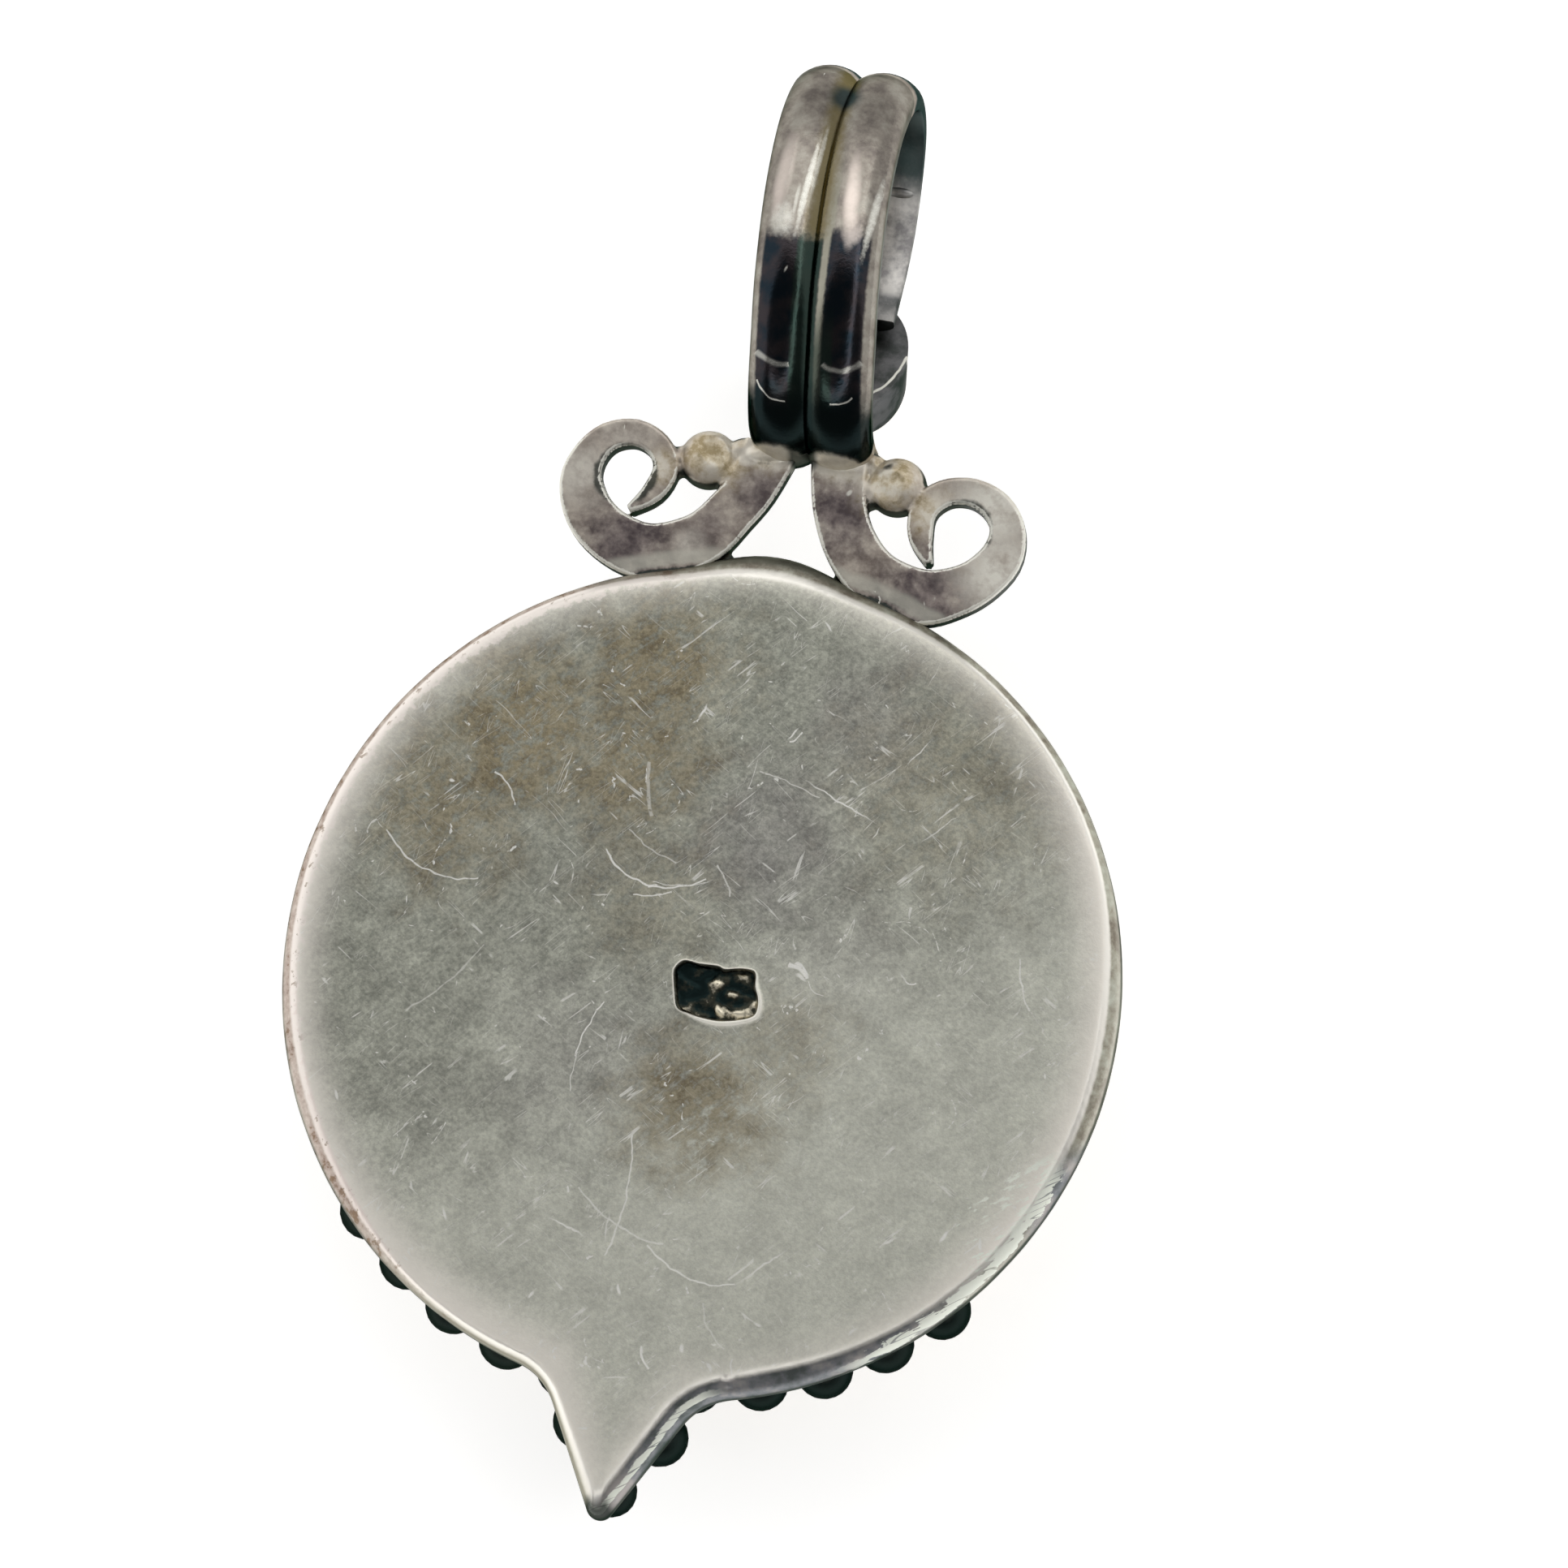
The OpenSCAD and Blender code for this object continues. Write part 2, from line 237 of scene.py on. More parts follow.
def edgeRing(inset, height):
    # outline at an inset, which is narrower at some places of the rim than at others
    shares, ring = smoothRows(body["edgeShares"], 3), []
    for outer, inner in zip(bodyOutline(0, height), bodyOutline(inset, height)):
        a = (math.degrees(math.atan2(outer.y, outer.x)) + 91) % 360 - 91
        k = min(max(bisect(shares, a, key=lambda row: row[0]), 1), len(shares) - 1)
        (a0, low), (a1, high) = shares[k - 1], shares[k]
        ring.append(outer.lerp(inner, low + (high - low) * (a - a0) / (a1 - a0)))
    return ring


def makeBody():
    back, middle, reach = body["backHeight"], Vector(punch["at"]), punchReach()
    plate = [spot.xy for spot in edgeRing(body["edge"][0][1], back)]
    ways = [(spot - middle).normalized() for spot in plate]
    far = [reach(math.atan2(way.y, way.x)) for way in ways]
    rings = []
    for k in range(1, 12):
        ring = [Vector((*(middle + way * (r - 0.16) * k / 11), back - punch["depth"])) for way, r in zip(ways, far)]
        for spot in ring:
            lump = noise.noise(Vector((spot.x * 1.5, spot.y * 1.9, 4.0))) + 0.5 * noise.noise(spot * 3.7)
            spot.z += punch["unevenness"] * max(lump, -0.3) * (1 if k < 10 else 0.6)
        rings.append(ring)
    for grow, height in punch["wall"]:
        ring = []
        for way, r in zip(ways, far):
            heavy = 0.6 + 1.7 * max(0, way.dot(Vector(punch["heavySide"])))
            ring.append(Vector((*(middle + way * (r + grow * (heavy if grow > 0 else 1))), back + height)))
        rings.append(ring)
    inner, count = [spot.xy for spot in rings[-1]], body["plateRings"]
    for k in range(1, count):
        share, fade = (k / count) ** 1.2, min(1, k / 4, (count - k) / 6)
        ring = []
        for a, b in zip(inner, plate):
            spot = a.lerp(b, share)
            slow, quick = handmade(Vector((*spot, back)))
            ring.append(Vector((*spot, back + fade * min(0, body["dishing"] * (slow - 0.25) + 0.012 * quick))))
        rings.append(ring)
    for drop, inset in smoothRows(body["edge"], 3):
        ring = edgeRing(inset, back - drop)
        for spot in ring:
            slow, quick = handmade(spot)
            spot.xy *= 1 + (0.0011 * slow + 0.0006 * quick - 0.0007) * min(1, 1.5 / (inset + 0.5))
        rings.append(ring)
    rings.append(bodyOutline(2.2, back - 1.7))
    return drawThrough("backPlate", rings)


silverBody = makeBody()
print("body drawn", len(silverBody.data.vertices))


# Granules on the front shelf, some of which look out past the wall

granule = {
    "radius": 1.2, "ringRadius": 16.85, "step": 9.25, "topAngle": 37, "topReach": (16.42, 15.65), "shelf": 7.7,
    # how far each one of the lower row is set in from the ring, from the left, and places of the three on the tip
    "setIn": [0.12, 0.15, 0.09, 0.1, 0, 0, 0.3, 0.18, 0.07, 0.09, 0],
    "tip": [(-1.65, -18.6, 1), (1.64, -18.73, 1), (0.1, -21.22, 0.9)],
}


def makeGranules():
    clearAll()
    bpy.ops.mesh.primitive_uv_sphere_add(segments=20, ring_count=12, radius=granule["radius"] * mm)
    first = bpy.context.object
    first.name = "granule"
    spots = []
    for n, setIn in enumerate(granule["setIn"]):
        a = math.radians(-90 + body["tipLean"] + (n - len(granule["setIn"]) // 2) * granule["step"])
        reach = granule["ringRadius"] - setIn
        spots.append((reach * math.cos(a), reach * math.sin(a), 1))
    for side, reach in zip((-1, 1), granule["topReach"]):
        a = math.radians(90 + side * granule["topAngle"])
        spots.append((reach * math.cos(a), reach * math.sin(a), 1))
    lean = Matrix.Rotation(math.radians(body["tipLean"]), 2)
    for x, y, size in granule["tip"]:
        spots.append((*(lean @ Vector((x, y))), size))
    made = []
    for n, (x, y, size) in enumerate(spots):
        one = copyOf(first)
        one.scale = (size, size, size * (0.97 + 0.03 * math.sin(5 * n)))
        one.location = Vector((x, y, granule["shelf"] - 0.86 * granule["radius"] * size)) * mm
        one.rotation_euler = (0.4 * n, 0.2 * n, n)
        made.append(one)
    bpy.data.objects.remove(first)
    takeUp(*made)
    bpy.ops.object.transform_apply()
    return made


granules = makeGranules()
print("granules set", len(granules))


# Bezel round the flower

bezel = {"radius": 15, "wall": 0.6, "top": 8.0, "lip": 4.06}


def makeBezel():
    clearAll()
    height = bezel["top"] - bezel["lip"]
    bpy.ops.mesh.primitive_cylinder_add(
        vertices=160, radius=bezel["radius"] * mm, depth=height * mm, end_fill_type="NOTHING",
        location=(0, 0, (bezel["top"] + bezel["lip"]) / 2 * mm))
    ring = bpy.context.object
    ring.name = "bezel"
    bpy.ops.object.transform_apply()
    finishWith(ring, "SOLIDIFY", thickness=bezel["wall"] * mm, offset=-1)
    softenEdges(ring, 0.18, 4)
    sheet = openUp(ring)
    for v in sheet.verts:
        v.select = v.co.z < (bezel["lip"] + 0.3) * mm
    sheet.select_flush_mode()
    bmesh.update_edit_mesh(ring.data)
    bpy.ops.transform.resize(value=(0.991, 0.991, 1), center_override=(0, 0, 0))
    clearAll()
    return ring


bezelRing = makeBezel()
print("bezel bent")


# Hanger: two scroll strips, their balls, the bail and its setting, soldered into one

scrolls = {
    "height": 8.85, "thick": 1.4, "chamfer": 0.09, "ballRadius": 1.25,
    # middle of the strip across and along, and its width
    "left": [(-1.4, 22.6, 2.35), (-1.9, 20.86, 2.15), (-2.6, 19.6, 2.15), (-3.45, 18.4, 2.3),
             (-4.75, 17.6, 2.4), (-6.0, 17.35, 2.4), (-7.45, 17.8, 2.25), (-8.5, 18.65, 2.1),
             (-9.1, 19.9, 1.8), (-8.95, 21.05, 1.45), (-8.3, 21.95, 1.25), (-7.2, 22.3, 1.15),
             (-6.15, 21.9, 1.1), (-5.65, 21.0, 1.1), (-6.0, 19.9, 0.95), (-6.85, 19.0, 0.35)],
    "right": [(1.45, 22.85, 2.4), (1.7, 21.3, 2.3), (2.05, 20.15, 2.25), (2.7, 19.0, 2.3),
              (3.7, 18.0, 2.35), (4.85, 17.5, 2.4), (6.05, 17.35, 2.4), (7.2, 17.75, 2.15),
              (8.2, 18.45, 1.95), (8.95, 19.55, 1.8), (9.0, 20.75, 1.5), (8.4, 21.65, 1.35),
              (7.4, 22.1, 1.2), (6.35, 22.0, 1.15), (5.6, 21.45, 1.2), (5.35, 20.75, 1.15),
              (5.5, 19.8, 1.0), (6.0, 18.85, 0.4)],
    "balls": [(-4.0, 21.75), (4.05, 21.9)],
    "filedRise": 0.36, "filedTilt": [(0.3, 0.2), (-0.25, -0.2)],
}


def makeScroll(name, rows):
    path = smoothRows(rows, 4)
    rings = []
    for i, p in enumerate(path):
        step = path[min(i + 1, len(path) - 1)] - path[max(i - 1, 0)]
        across = Vector((step.y, -step.x)).normalized()
        half, c, t = p.z / 2, scrolls["chamfer"], scrolls["thick"]
        section = [(half, -c), (half - c, 0), (half * 0.4, 0), (-half * 0.4, 0), (c - half, 0), (-half, -c)]
        for k in range(9):
            a = math.pi * k / 8
            section.append((-half * math.cos(a), -0.55 * t - 0.45 * t * math.sin(a)))
        rings.append([(p.x + across.x * s, p.y + across.y * s, scrolls["height"] + h) for s, h in section])
    return drawThrough(name, rings)


def makeBall(name, spot, radius, flat=1.0):
    clearAll()
    bpy.ops.mesh.primitive_uv_sphere_add(
        segments=32, ring_count=18, radius=radius * mm, location=Vector(spot) * mm, scale=(1, 1, flat))
    ball = bpy.context.object
    ball.name = name
    bpy.ops.object.transform_apply()
    return ball


bail = {
    "halfWidth": 2.625, "overlap": 0.32,
    # along the pendant, height, place across, and place of the groove, round the loop from its foot
    "loop": [(22.65, 7.9, 0.3, -0.1), (22.75, 8.8, 0.24, -0.1), (23.2, 9.75, 0.15, -0.1), (24.4, 10.72, 0.02, -0.12),
             (26.5, 11.4, -0.2, -0.13), (29.2, 11.85, -0.5, -0.13), (33.0, 11.4, -0.87, -0.1),
             (36.2, 10.6, -1.0, -0.05), (38.35, 9.2, -0.95, 0), (38.98, 7.5, -0.8, 0), (37.8, 5.8, -0.62, 0),
             (34.9, 4.85, -0.47, 0), (32.4, 4.6, -0.45, 0), (29.5, 5.0, -0.5, 0)],
    # shares of a wire's half width, and height over its middle
    "wire": [(-1, -0.64), (-0.95, -0.7), (0, -0.7), (0.95, -0.7), (1, -0.64), (1, -0.3), (0.99, -0.14), (0.95, 0),
             (0.86, 0.18), (0.72, 0.35), (0.55, 0.5), (0.37, 0.6), (0.18, 0.66), (0, 0.68), (-0.18, 0.66), (-0.37, 0.6),
             (-0.55, 0.5), (-0.72, 0.35), (-0.86, 0.18), (-0.95, 0), (-0.99, -0.14), (-1, -0.3)],
    "strap": [(30.9, 4.5, -0.3, 0), (28.4, 4.6, -0.2, 0), (26.2, 5.3, -0.1, 0), (24.6, 6.4, 0.1, 0),
              (23.6, 7.5, 0.15, 0), (22.95, 8.05, 0.1, 0)],
    "strapHalf": 1.6, "strapSection": [(-1, -0.5), (1, -0.5), (1, 0.2), (0, 0.5), (-1, 0.2)],
    "settingAt": (0.64, 28.25, 4.83), "settingRadii": (2.23, 2.8), "settingTaper": 0.93, "settingHeight": 2.6,
    "settingTilt": 19, "settingWall": 0.42, "settingDepth": 1.5,
}


def sweepAlong(name, rows, section, steps, span):
    # span gives a row's middle and half width across, the section goes outwards from the loop's inside
    path = smoothRows(rows, steps)
    rings = []
    for i, p in enumerate(path):
        step = path[min(i + 1, len(path) - 1)] - path[max(i - 1, 0)]
        out = Vector((-step.y, step.x)).normalized()
        middle, half = span(p)
        rings.append([(p.z + middle + half * s, p.x + out.x * h, p.y + out.y * h) for s, h in section])
    return drawThrough(name, rings)


def wireSpan(side):
    def span(row):
        outer, inner = side * bail["halfWidth"], row.w - side * bail["overlap"]
        return (outer + inner) / 2, abs(outer - inner) / 2
    return span


def leanFront(piece):
    # from the origin to its place on the front of the bail
    takeUp(piece)
    piece.rotation_euler.x = math.radians(180 - bail["settingTilt"])
    piece.location = Vector(bail["settingAt"]) * mm
    bpy.ops.object.transform_apply()
    return piece


def makeSetting():
    clearAll()
    rx, ry = bail["settingRadii"]
    h = bail["settingHeight"]
    bpy.ops.mesh.primitive_cylinder_add(vertices=72, radius=mm, depth=h * mm, location=(0, 0, h / 2 * mm))
    cup = bpy.context.object
    cup.name = "settingCup"
    cup.scale = (rx, ry, 1)
    bpy.ops.object.transform_apply()
    sheet = openUp(cup)
    for face in sheet.faces:
        face.select = face.normal.z > 0.9
    bmesh.update_edit_mesh(cup.data)
    taper = bail["settingTaper"]
    bpy.ops.transform.resize(value=(taper, taper, 1), center_override=(0, 0, h * mm))
    bpy.ops.mesh.inset(thickness=bail["settingWall"] * mm)
    bpy.ops.mesh.extrude_region_move(TRANSFORM_OT_translate={"value": (0, 0, -bail["settingDepth"] * mm)})
    clearAll()
    return leanFront(softenEdges(cup, 0.14, 3))


solder = {
    # place, radii along the axes, turn about the vertical
    "blobs": [
        ((-5.2, 21.45, 8.2), (0.55, 0.7, 0.62), 0), ((-3.05, 21.2, 8.2), (0.75, 0.75, 0.66), 20),
        ((-2.75, 22.3, 8.25), (0.85, 0.55, 0.62), 35),
        ((5.05, 21.6, 8.2), (0.55, 0.65, 0.62), 0), ((3.0, 21.5, 8.2), (0.65, 0.85, 0.64), -20),
        ((2.95, 22.6, 8.25), (0.75, 0.5, 0.6), -35),
        ((-1.35, 22.35, 8.65), (1.25, 0.42, 0.42), 12), ((1.5, 22.55, 8.65), (1.2, 0.42, 0.42), -4),
        ((1.3, 35.3, 5.5), (0.75, 0.28, 0.28), 0), ((1.7, 30.75, 5.2), (0.45, 0.22, 0.25), 0),
        ((-5.9, 16.9, 7.9), (1.6, 0.5, 0.6), 0), ((5.9, 16.9, 7.9), (1.6, 0.5, 0.6), 0),
        ((-2.9, 17.6, 7.9), (0.9, 0.45, 0.55), 0), ((2.9, 17.5, 7.9), (0.9, 0.45, 0.55), 0),
    ],
    "voxel": 0.085,
}


def makeHanger():
    parts = [makeScroll("leftScroll", scrolls["left"]), makeScroll("rightScroll", scrolls["right"])]
    for n, (x, y) in enumerate(scrolls["balls"]):
        ball = makeBall(f"scrollBall{n}", (x, y, scrolls["height"] - 0.7), scrolls["ballRadius"])
        bpy.ops.object.mode_set(mode="EDIT")
        bpy.ops.mesh.select_all(action="SELECT")
        tilt = scrolls["filedTilt"][n]
        bpy.ops.mesh.bisect(
            plane_co=Vector((x, y, scrolls["height"] + scrolls["filedRise"])) * mm, plane_no=(*tilt, 1),
            use_fill=True, clear_outer=True)
        clearAll()
        parts.append(ball)
    bails = [sweepAlong("wire", bail["loop"], bail["wire"], 9, wireSpan(side)) for side in (-1, 1)]
    bails.append(sweepAlong("strap", bail["strap"], bail["strapSection"], 5, lambda row: (0, bail["strapHalf"])))
    bails.append(makeSetting())
    for spot, radii, turn in solder["blobs"]:
        blob = makeBall("solder", (0, 0, 0), 1)
        blob.scale, blob.rotation_euler.z, blob.location = radii, math.radians(turn), Vector(spot) * mm
        takeUp(blob)
        bpy.ops.object.transform_apply()
        parts.append(blob)
    whole = fuse(parts, "silverHanger")
    finishWith(whole, "REMESH", mode="VOXEL", voxel_size=solder["voxel"] * mm, adaptivity=0)
    finishWith(whole, "SMOOTH", factor=0.5, iterations=2)
    return fuse([whole, *bails], "silverHanger")


def markEdges(piece):
    # how sharply the surface bends at each point, over edges positive and in creases negative
    sheet = bmesh.new()
    sheet.from_mesh(piece.data)
    bends = []
    for v in sheet.verts:
        shared = [e for e in v.link_edges if len(e.link_faces) == 2]
        span = sum(e.calc_length() for e in shared) / mm or 1
        bends.append(sum(e.calc_face_angle_signed(0) for e in shared) / span)
    sheet.free()
    layer = piece.data.attributes.new("bend", "FLOAT", "POINT")
    layer.data.foreach_set("value", bends)


silverHanger = makeHanger()
markEdges(silverHanger)
print("hanger soldered", len(silverHanger.data.polygons))

silverBody = fuse([silverBody, bezelRing, *granules], "silverBody")


# Carved bloom: a disc under the bezel and four rings of petals cut from it

bloom = {
    "radius": 14.3, "back": 7.6, "petalRows": 22, "petalColumns": 24, "floor": -0.4,
    "vein": 0.11, "ribs": 0.05, "ribCount": 6.5, "edgeTurn": 0.16,
    # count, turn, radius of root and tip, half width, height of root and tip over the bezel's rim
    "rings": [(8, 22.5, 5.0, 14.1, 5.5, 0.6, 2.7), (7, 0, 3.0, 10.7, 4.6, 1.8, 4.6),
              (5, 30, 1.2, 7.0, 3.7, 2.4, 4.5), (3, 10, 0.2, 3.6, 2.3, 3.0, 4.2)],
}


def petalHeight(ring, t, s):
    root, tip = ring[5], ring[6]
    rise = root + (tip - root) * math.sin(math.radians(90 * min(1, t * 1.15)))
    return rise - 0.5 * s * s - 0.35 * t ** 8 + 0.3 * s * t - 0.3 * t


def bloomRim():
    # the highest petals touch the surface that the pendant lies on
    cells = [((1 - math.cos(math.pi * i / 6)) / 2, j / 3 - 1) for i in range(7) for j in range(7)]
    return max(petalHeight(ring, t, s) for ring in bloom["rings"] for t, s in cells)


def carvedHeight(ring, t, s):
    grooves = bloom["vein"] * math.exp(-(s / 0.07) ** 2) * (1 - t ** 3)
    rib = max(0, math.cos(2 * math.pi * (bloom["ribCount"] * t - 2.2 * abs(s)))) ** 3
    grooves += bloom["ribs"] * rib * abs(s) ** 0.6 * (1 - s ** 6) * (1 - t ** 8)
    grooves += bloom["edgeTurn"] * abs(s) ** 9
    return petalHeight(ring, t, s) - grooves


def makePetal(ring):
    rim, rows, columns = bloomRim(), bloom["petalRows"], bloom["petalColumns"]
    root, reach = ring[2], ring[3] - ring[2]
    rings = []
    for i in range(rows + 1):
        t = (1 - math.cos(math.pi * i / rows)) / 2
        half = ring[4] * (0.12 + 0.88 * math.sin(math.pi * min(i / rows, 0.999)) ** 0.75)
        row = []
        for j in range(columns + 1):
            s = math.sin(math.pi * (j / columns - 0.5))
            x = root + reach * (t - 0.05 * t ** 6 * (1 - s * s))
            row.append((x, s * half, rim - min(max(carvedHeight(ring, t, s), 0), rim)))
        inner = root + reach * (0.04 + 0.92 * t)
        row += [(inner, half * s, rim - bloom["floor"]) for s in (0.9, 0.3, -0.3, -0.9)]
        rings.append(row)
    return drawThrough("petal", rings)


def makeBloom():
    clearAll()
    rim = bloomRim()
    bpy.ops.mesh.primitive_cylinder_add(
        vertices=128, radius=bloom["radius"] * mm, depth=(bloom["back"] - rim) * mm,
        location=(0, 0, (bloom["back"] + rim) / 2 * mm))
    base = bpy.context.object
    bpy.ops.object.transform_apply()
    parts = [softenEdges(base, 0.12, 2)]
    for ring in bloom["rings"]:
        first = makePetal(ring)
        for k in range(ring[0]):
            one = copyOf(first)
            one.rotation_euler.z = math.radians(ring[1] + 360 * (k + 1) / ring[0])
            parts.append(one)
        bpy.data.objects.remove(first)
    takeUp(*parts)
    bpy.ops.object.transform_apply()
    return fuse(parts, "carvedBloom")


carvedBloom = makeBloom()
print("bloom carved", len(carvedBloom.data.polygons))


# Cabochon in the setting on the front of the bail

cabochon = {"radius": 1.74, "stretch": 1.3, "foot": 1.2, "girdle": 2.2, "dome": 0.9, "steps": 12, "sides": 48}


def makeCabochon():
    r, low, high, stretch = (cabochon[key] for key in ("radius", "foot", "girdle", "stretch"))
    profile = [(r - 0.08, low), (r, low + 0.08), (r, high)]
    for k in range(1, cabochon["steps"] + 1):
        a = math.pi / 2 * k / cabochon["steps"]
        profile.append((max(r * math.cos(a), 0.02), high + cabochon["dome"] * math.sin(a)))
    turns = [2 * math.pi * k / cabochon["sides"] for k in range(cabochon["sides"])]
    rings = [[(w * math.cos(a), w * stretch * math.sin(a), h) for a in turns] for w, h in profile]
    return leanFront(drawThrough("bailCabochon", rings))


bailCabochon = makeCabochon()
for piece, slot, node in ((silverBody, "silver", "silver_mount"), (silverHanger, "silver", "silver_mount"),
                          (carvedBloom, "bloom", "carved_flower"), (bailCabochon, "cabochon", "bail_stone")):
    settle(piece)
    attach(piece, "root")
    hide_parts(node)
print("pieces settled")


# Shader maths in plain expressions

class Wire:
    def __init__(self, sheet, socket):
        self.sheet, self.socket = sheet, socket

    def maths(self, operation, other=None, third=None, flip=False):
        node = self.sheet.nodes.new("ShaderNodeMath")
        node.operation = operation
        terms = [self, other] if not flip else [other, self]
        for place, term in enumerate([*terms, third]):
            if isinstance(term, Wire):
                self.sheet.links.new(term.socket, node.inputs[place])
            elif term is not None:
                node.inputs[place].default_value = term
        return Wire(self.sheet, node.outputs[0])

    def __add__(self, other):
        return self.maths("ADD", other)

    def __sub__(self, other):
        return self.maths("SUBTRACT", other)

    def __mul__(self, other):
        return self.maths("MULTIPLY", other)

    def __truediv__(self, other):
        return self.maths("DIVIDE", other)

    __radd__, __rmul__ = __add__, __mul__

    def __rsub__(self, other):
        return self.maths("SUBTRACT", other, flip=True)

    def lowest(self, other):
        return self.maths("MINIMUM", other)

    def highest(self, other):
        return self.maths("MAXIMUM", other)

    def size(self):
        return self.maths("ABSOLUTE")

    def towards(self, other, share):
        return share.maths("MULTIPLY_ADD", other - self, self)

    def step(self, low, high, top=1.0):
        # 0 at low, top at high, smooth between; low may be the larger one
        node = self.sheet.nodes.new("ShaderNodeMapRange")
        node.interpolation_type = "SMOOTHSTEP"
        flip = low > high
        self.sheet.links.new(self.socket, node.inputs["Value"])
        node.inputs["From Min"].default_value = min(low, high)
        node.inputs["From Max"].default_value = max(low, high)
        node.inputs["To Min"].default_value = top if flip else 0.0
        node.inputs["To Max"].default_value = 0.0 if flip else top
        return Wire(self.sheet, node.outputs["Result"])


class Finish:
    def __init__(self, name, **fixed):
        self.material = bpy.data.materials.new(name)
        self.material.use_nodes = True
        self.sheet = self.material.node_tree
        self.nodes, self.links = self.sheet.nodes, self.sheet.links
        self.shader = self.nodes["Principled BSDF"]
        for key, value in fixed.items():
            self.shader.inputs[key].default_value = value
        # Object coordinates in millimetres about the middle of the round body
        here = self.node("ShaderNodeTexCoord")
        self.place = self.node("ShaderNodeMapping", {"vector_type": "POINT"}, {
            "Vector": here.outputs["Object"], "Location": -bodyMiddle / mm, "Scale": (1000, 1000, 1000)}).outputs[0]
        apart = self.node("ShaderNodeSeparateXYZ", {}, {"Vector": self.place})
        self.x, self.y, self.z = (Wire(self.sheet, apart.outputs[k]) for k in range(3))
        self.flat = self.place

    def node(self, kind, settings=None, sockets=None):
        made = self.nodes.new(kind)
        for key, value in (settings or {}).items():
            setattr(made, key, value)
        for key, value in (sockets or {}).items():
            value = value.socket if isinstance(value, Wire) else value
            if isinstance(value, bpy.types.NodeSocket):
                self.links.new(value, made.inputs[key])
            else:
                made.inputs[key].default_value = value
        return made

    def wire(self, kind, settings=None, sockets=None, output=0):
        return Wire(self.sheet, self.node(kind, settings, sockets).outputs[output])

    def turned(self, angle=0, repeats=(1, 1, 1), shift=(0, 0, 0), spot=None):
        # along, across and up from a direction in the plate, with how often the pattern repeats each way
        return self.node("ShaderNodeMapping", {"vector_type": "TEXTURE"}, {
            "Vector": spot or self.place, "Rotation": (0, 0, math.radians(angle)), "Location": shift,
            "Scale": tuple(1 / step for step in repeats)}).outputs[0]

    def clouds(self, scale, detail=3, rough=0.5, spot=None, flat=False):
        return self.wire("ShaderNodeTexNoise", {"noise_dimensions": "2D" if flat else "3D"}, {
            "Vector": spot or self.place, "Scale": scale, "Detail": detail, "Roughness": rough})

    def ramp(self, factor, stops):
        made = self.node("ShaderNodeValToRGB", {}, {"Fac": factor})
        while len(made.color_ramp.elements) < len(stops):
            made.color_ramp.elements.new(0.5)
        for element, (place, colour) in zip(made.color_ramp.elements, stops):
            element.position, element.color = place, (*colour, 1)
        return Wire(self.sheet, made.outputs["Color"])

    def blend(self, factor, first, second, way="MIX"):
        made = self.node("ShaderNodeMix", {"data_type": "RGBA", "blend_type": way})
        sockets = {0: factor, 6: first, 7: second}
        for key, value in sockets.items():
            if isinstance(value, Wire):
                self.links.new(value.socket, made.inputs[key])
            else:
                made.inputs[key].default_value = (*value, 1) if isinstance(value, tuple) else value
        return Wire(self.sheet, made.outputs[2])

    def paint(self, mask, colour, way="MIX"):
        self.tone = self.blend(mask, self.tone, colour, way)

    def distance(self, spot):
        # along the plate, whatever the height
        return self.wire("ShaderNodeVectorMath", {"operation": "DISTANCE"}, {0: self.flat, 1: (*spot, 0)}, "Value")

    def facing(self, way):
        return self.wire("ShaderNodeVectorMath", {"operation": "DOT_PRODUCT"}, {0: self.flat, 1: (*way, 0)}, "Value")

    def bent(self, scale, amount):
        # the place, moved about along the plate by a noise
        moves = self.node("ShaderNodeTexNoise", {"noise_dimensions": "2D"}, {
            "Vector": self.place, "Scale": scale, "Detail": 1}).outputs["Color"]
        moved = self.node("ShaderNodeVectorMath", {"operation": "MULTIPLY_ADD"}, {
            0: moves, 1: (amount, amount, 0), 2: self.place})
        return moved.outputs[0]

    def setFlat(self, wobble):
        # flat places for marks and borders, a little uneven and with no height
        level = self.node("ShaderNodeVectorMath", {"operation": "MULTIPLY_ADD"}, {
            0: self.bent(1.6, wobble), 1: (1, 1, 0), 2: (-wobble / 2, -wobble / 2, 0)})
        self.flat = level.outputs[0]

    def feed(self, **wires):
        for key, value in wires.items():
            self.links.new(value.socket, self.shader.inputs[key.replace("_", " ")])

    def relief(self, *layers):
        # each layer is a height in millimetres
        normal = None
        for height, strength in layers:
            sockets = {"Height": height, "Strength": strength, "Distance": mm}
            if normal:
                sockets["Normal"] = normal
            normal = self.node("ShaderNodeBump", {}, sockets).outputs[0]
        self.links.new(normal, self.shader.inputs["Normal"])


# Wear on the back plate

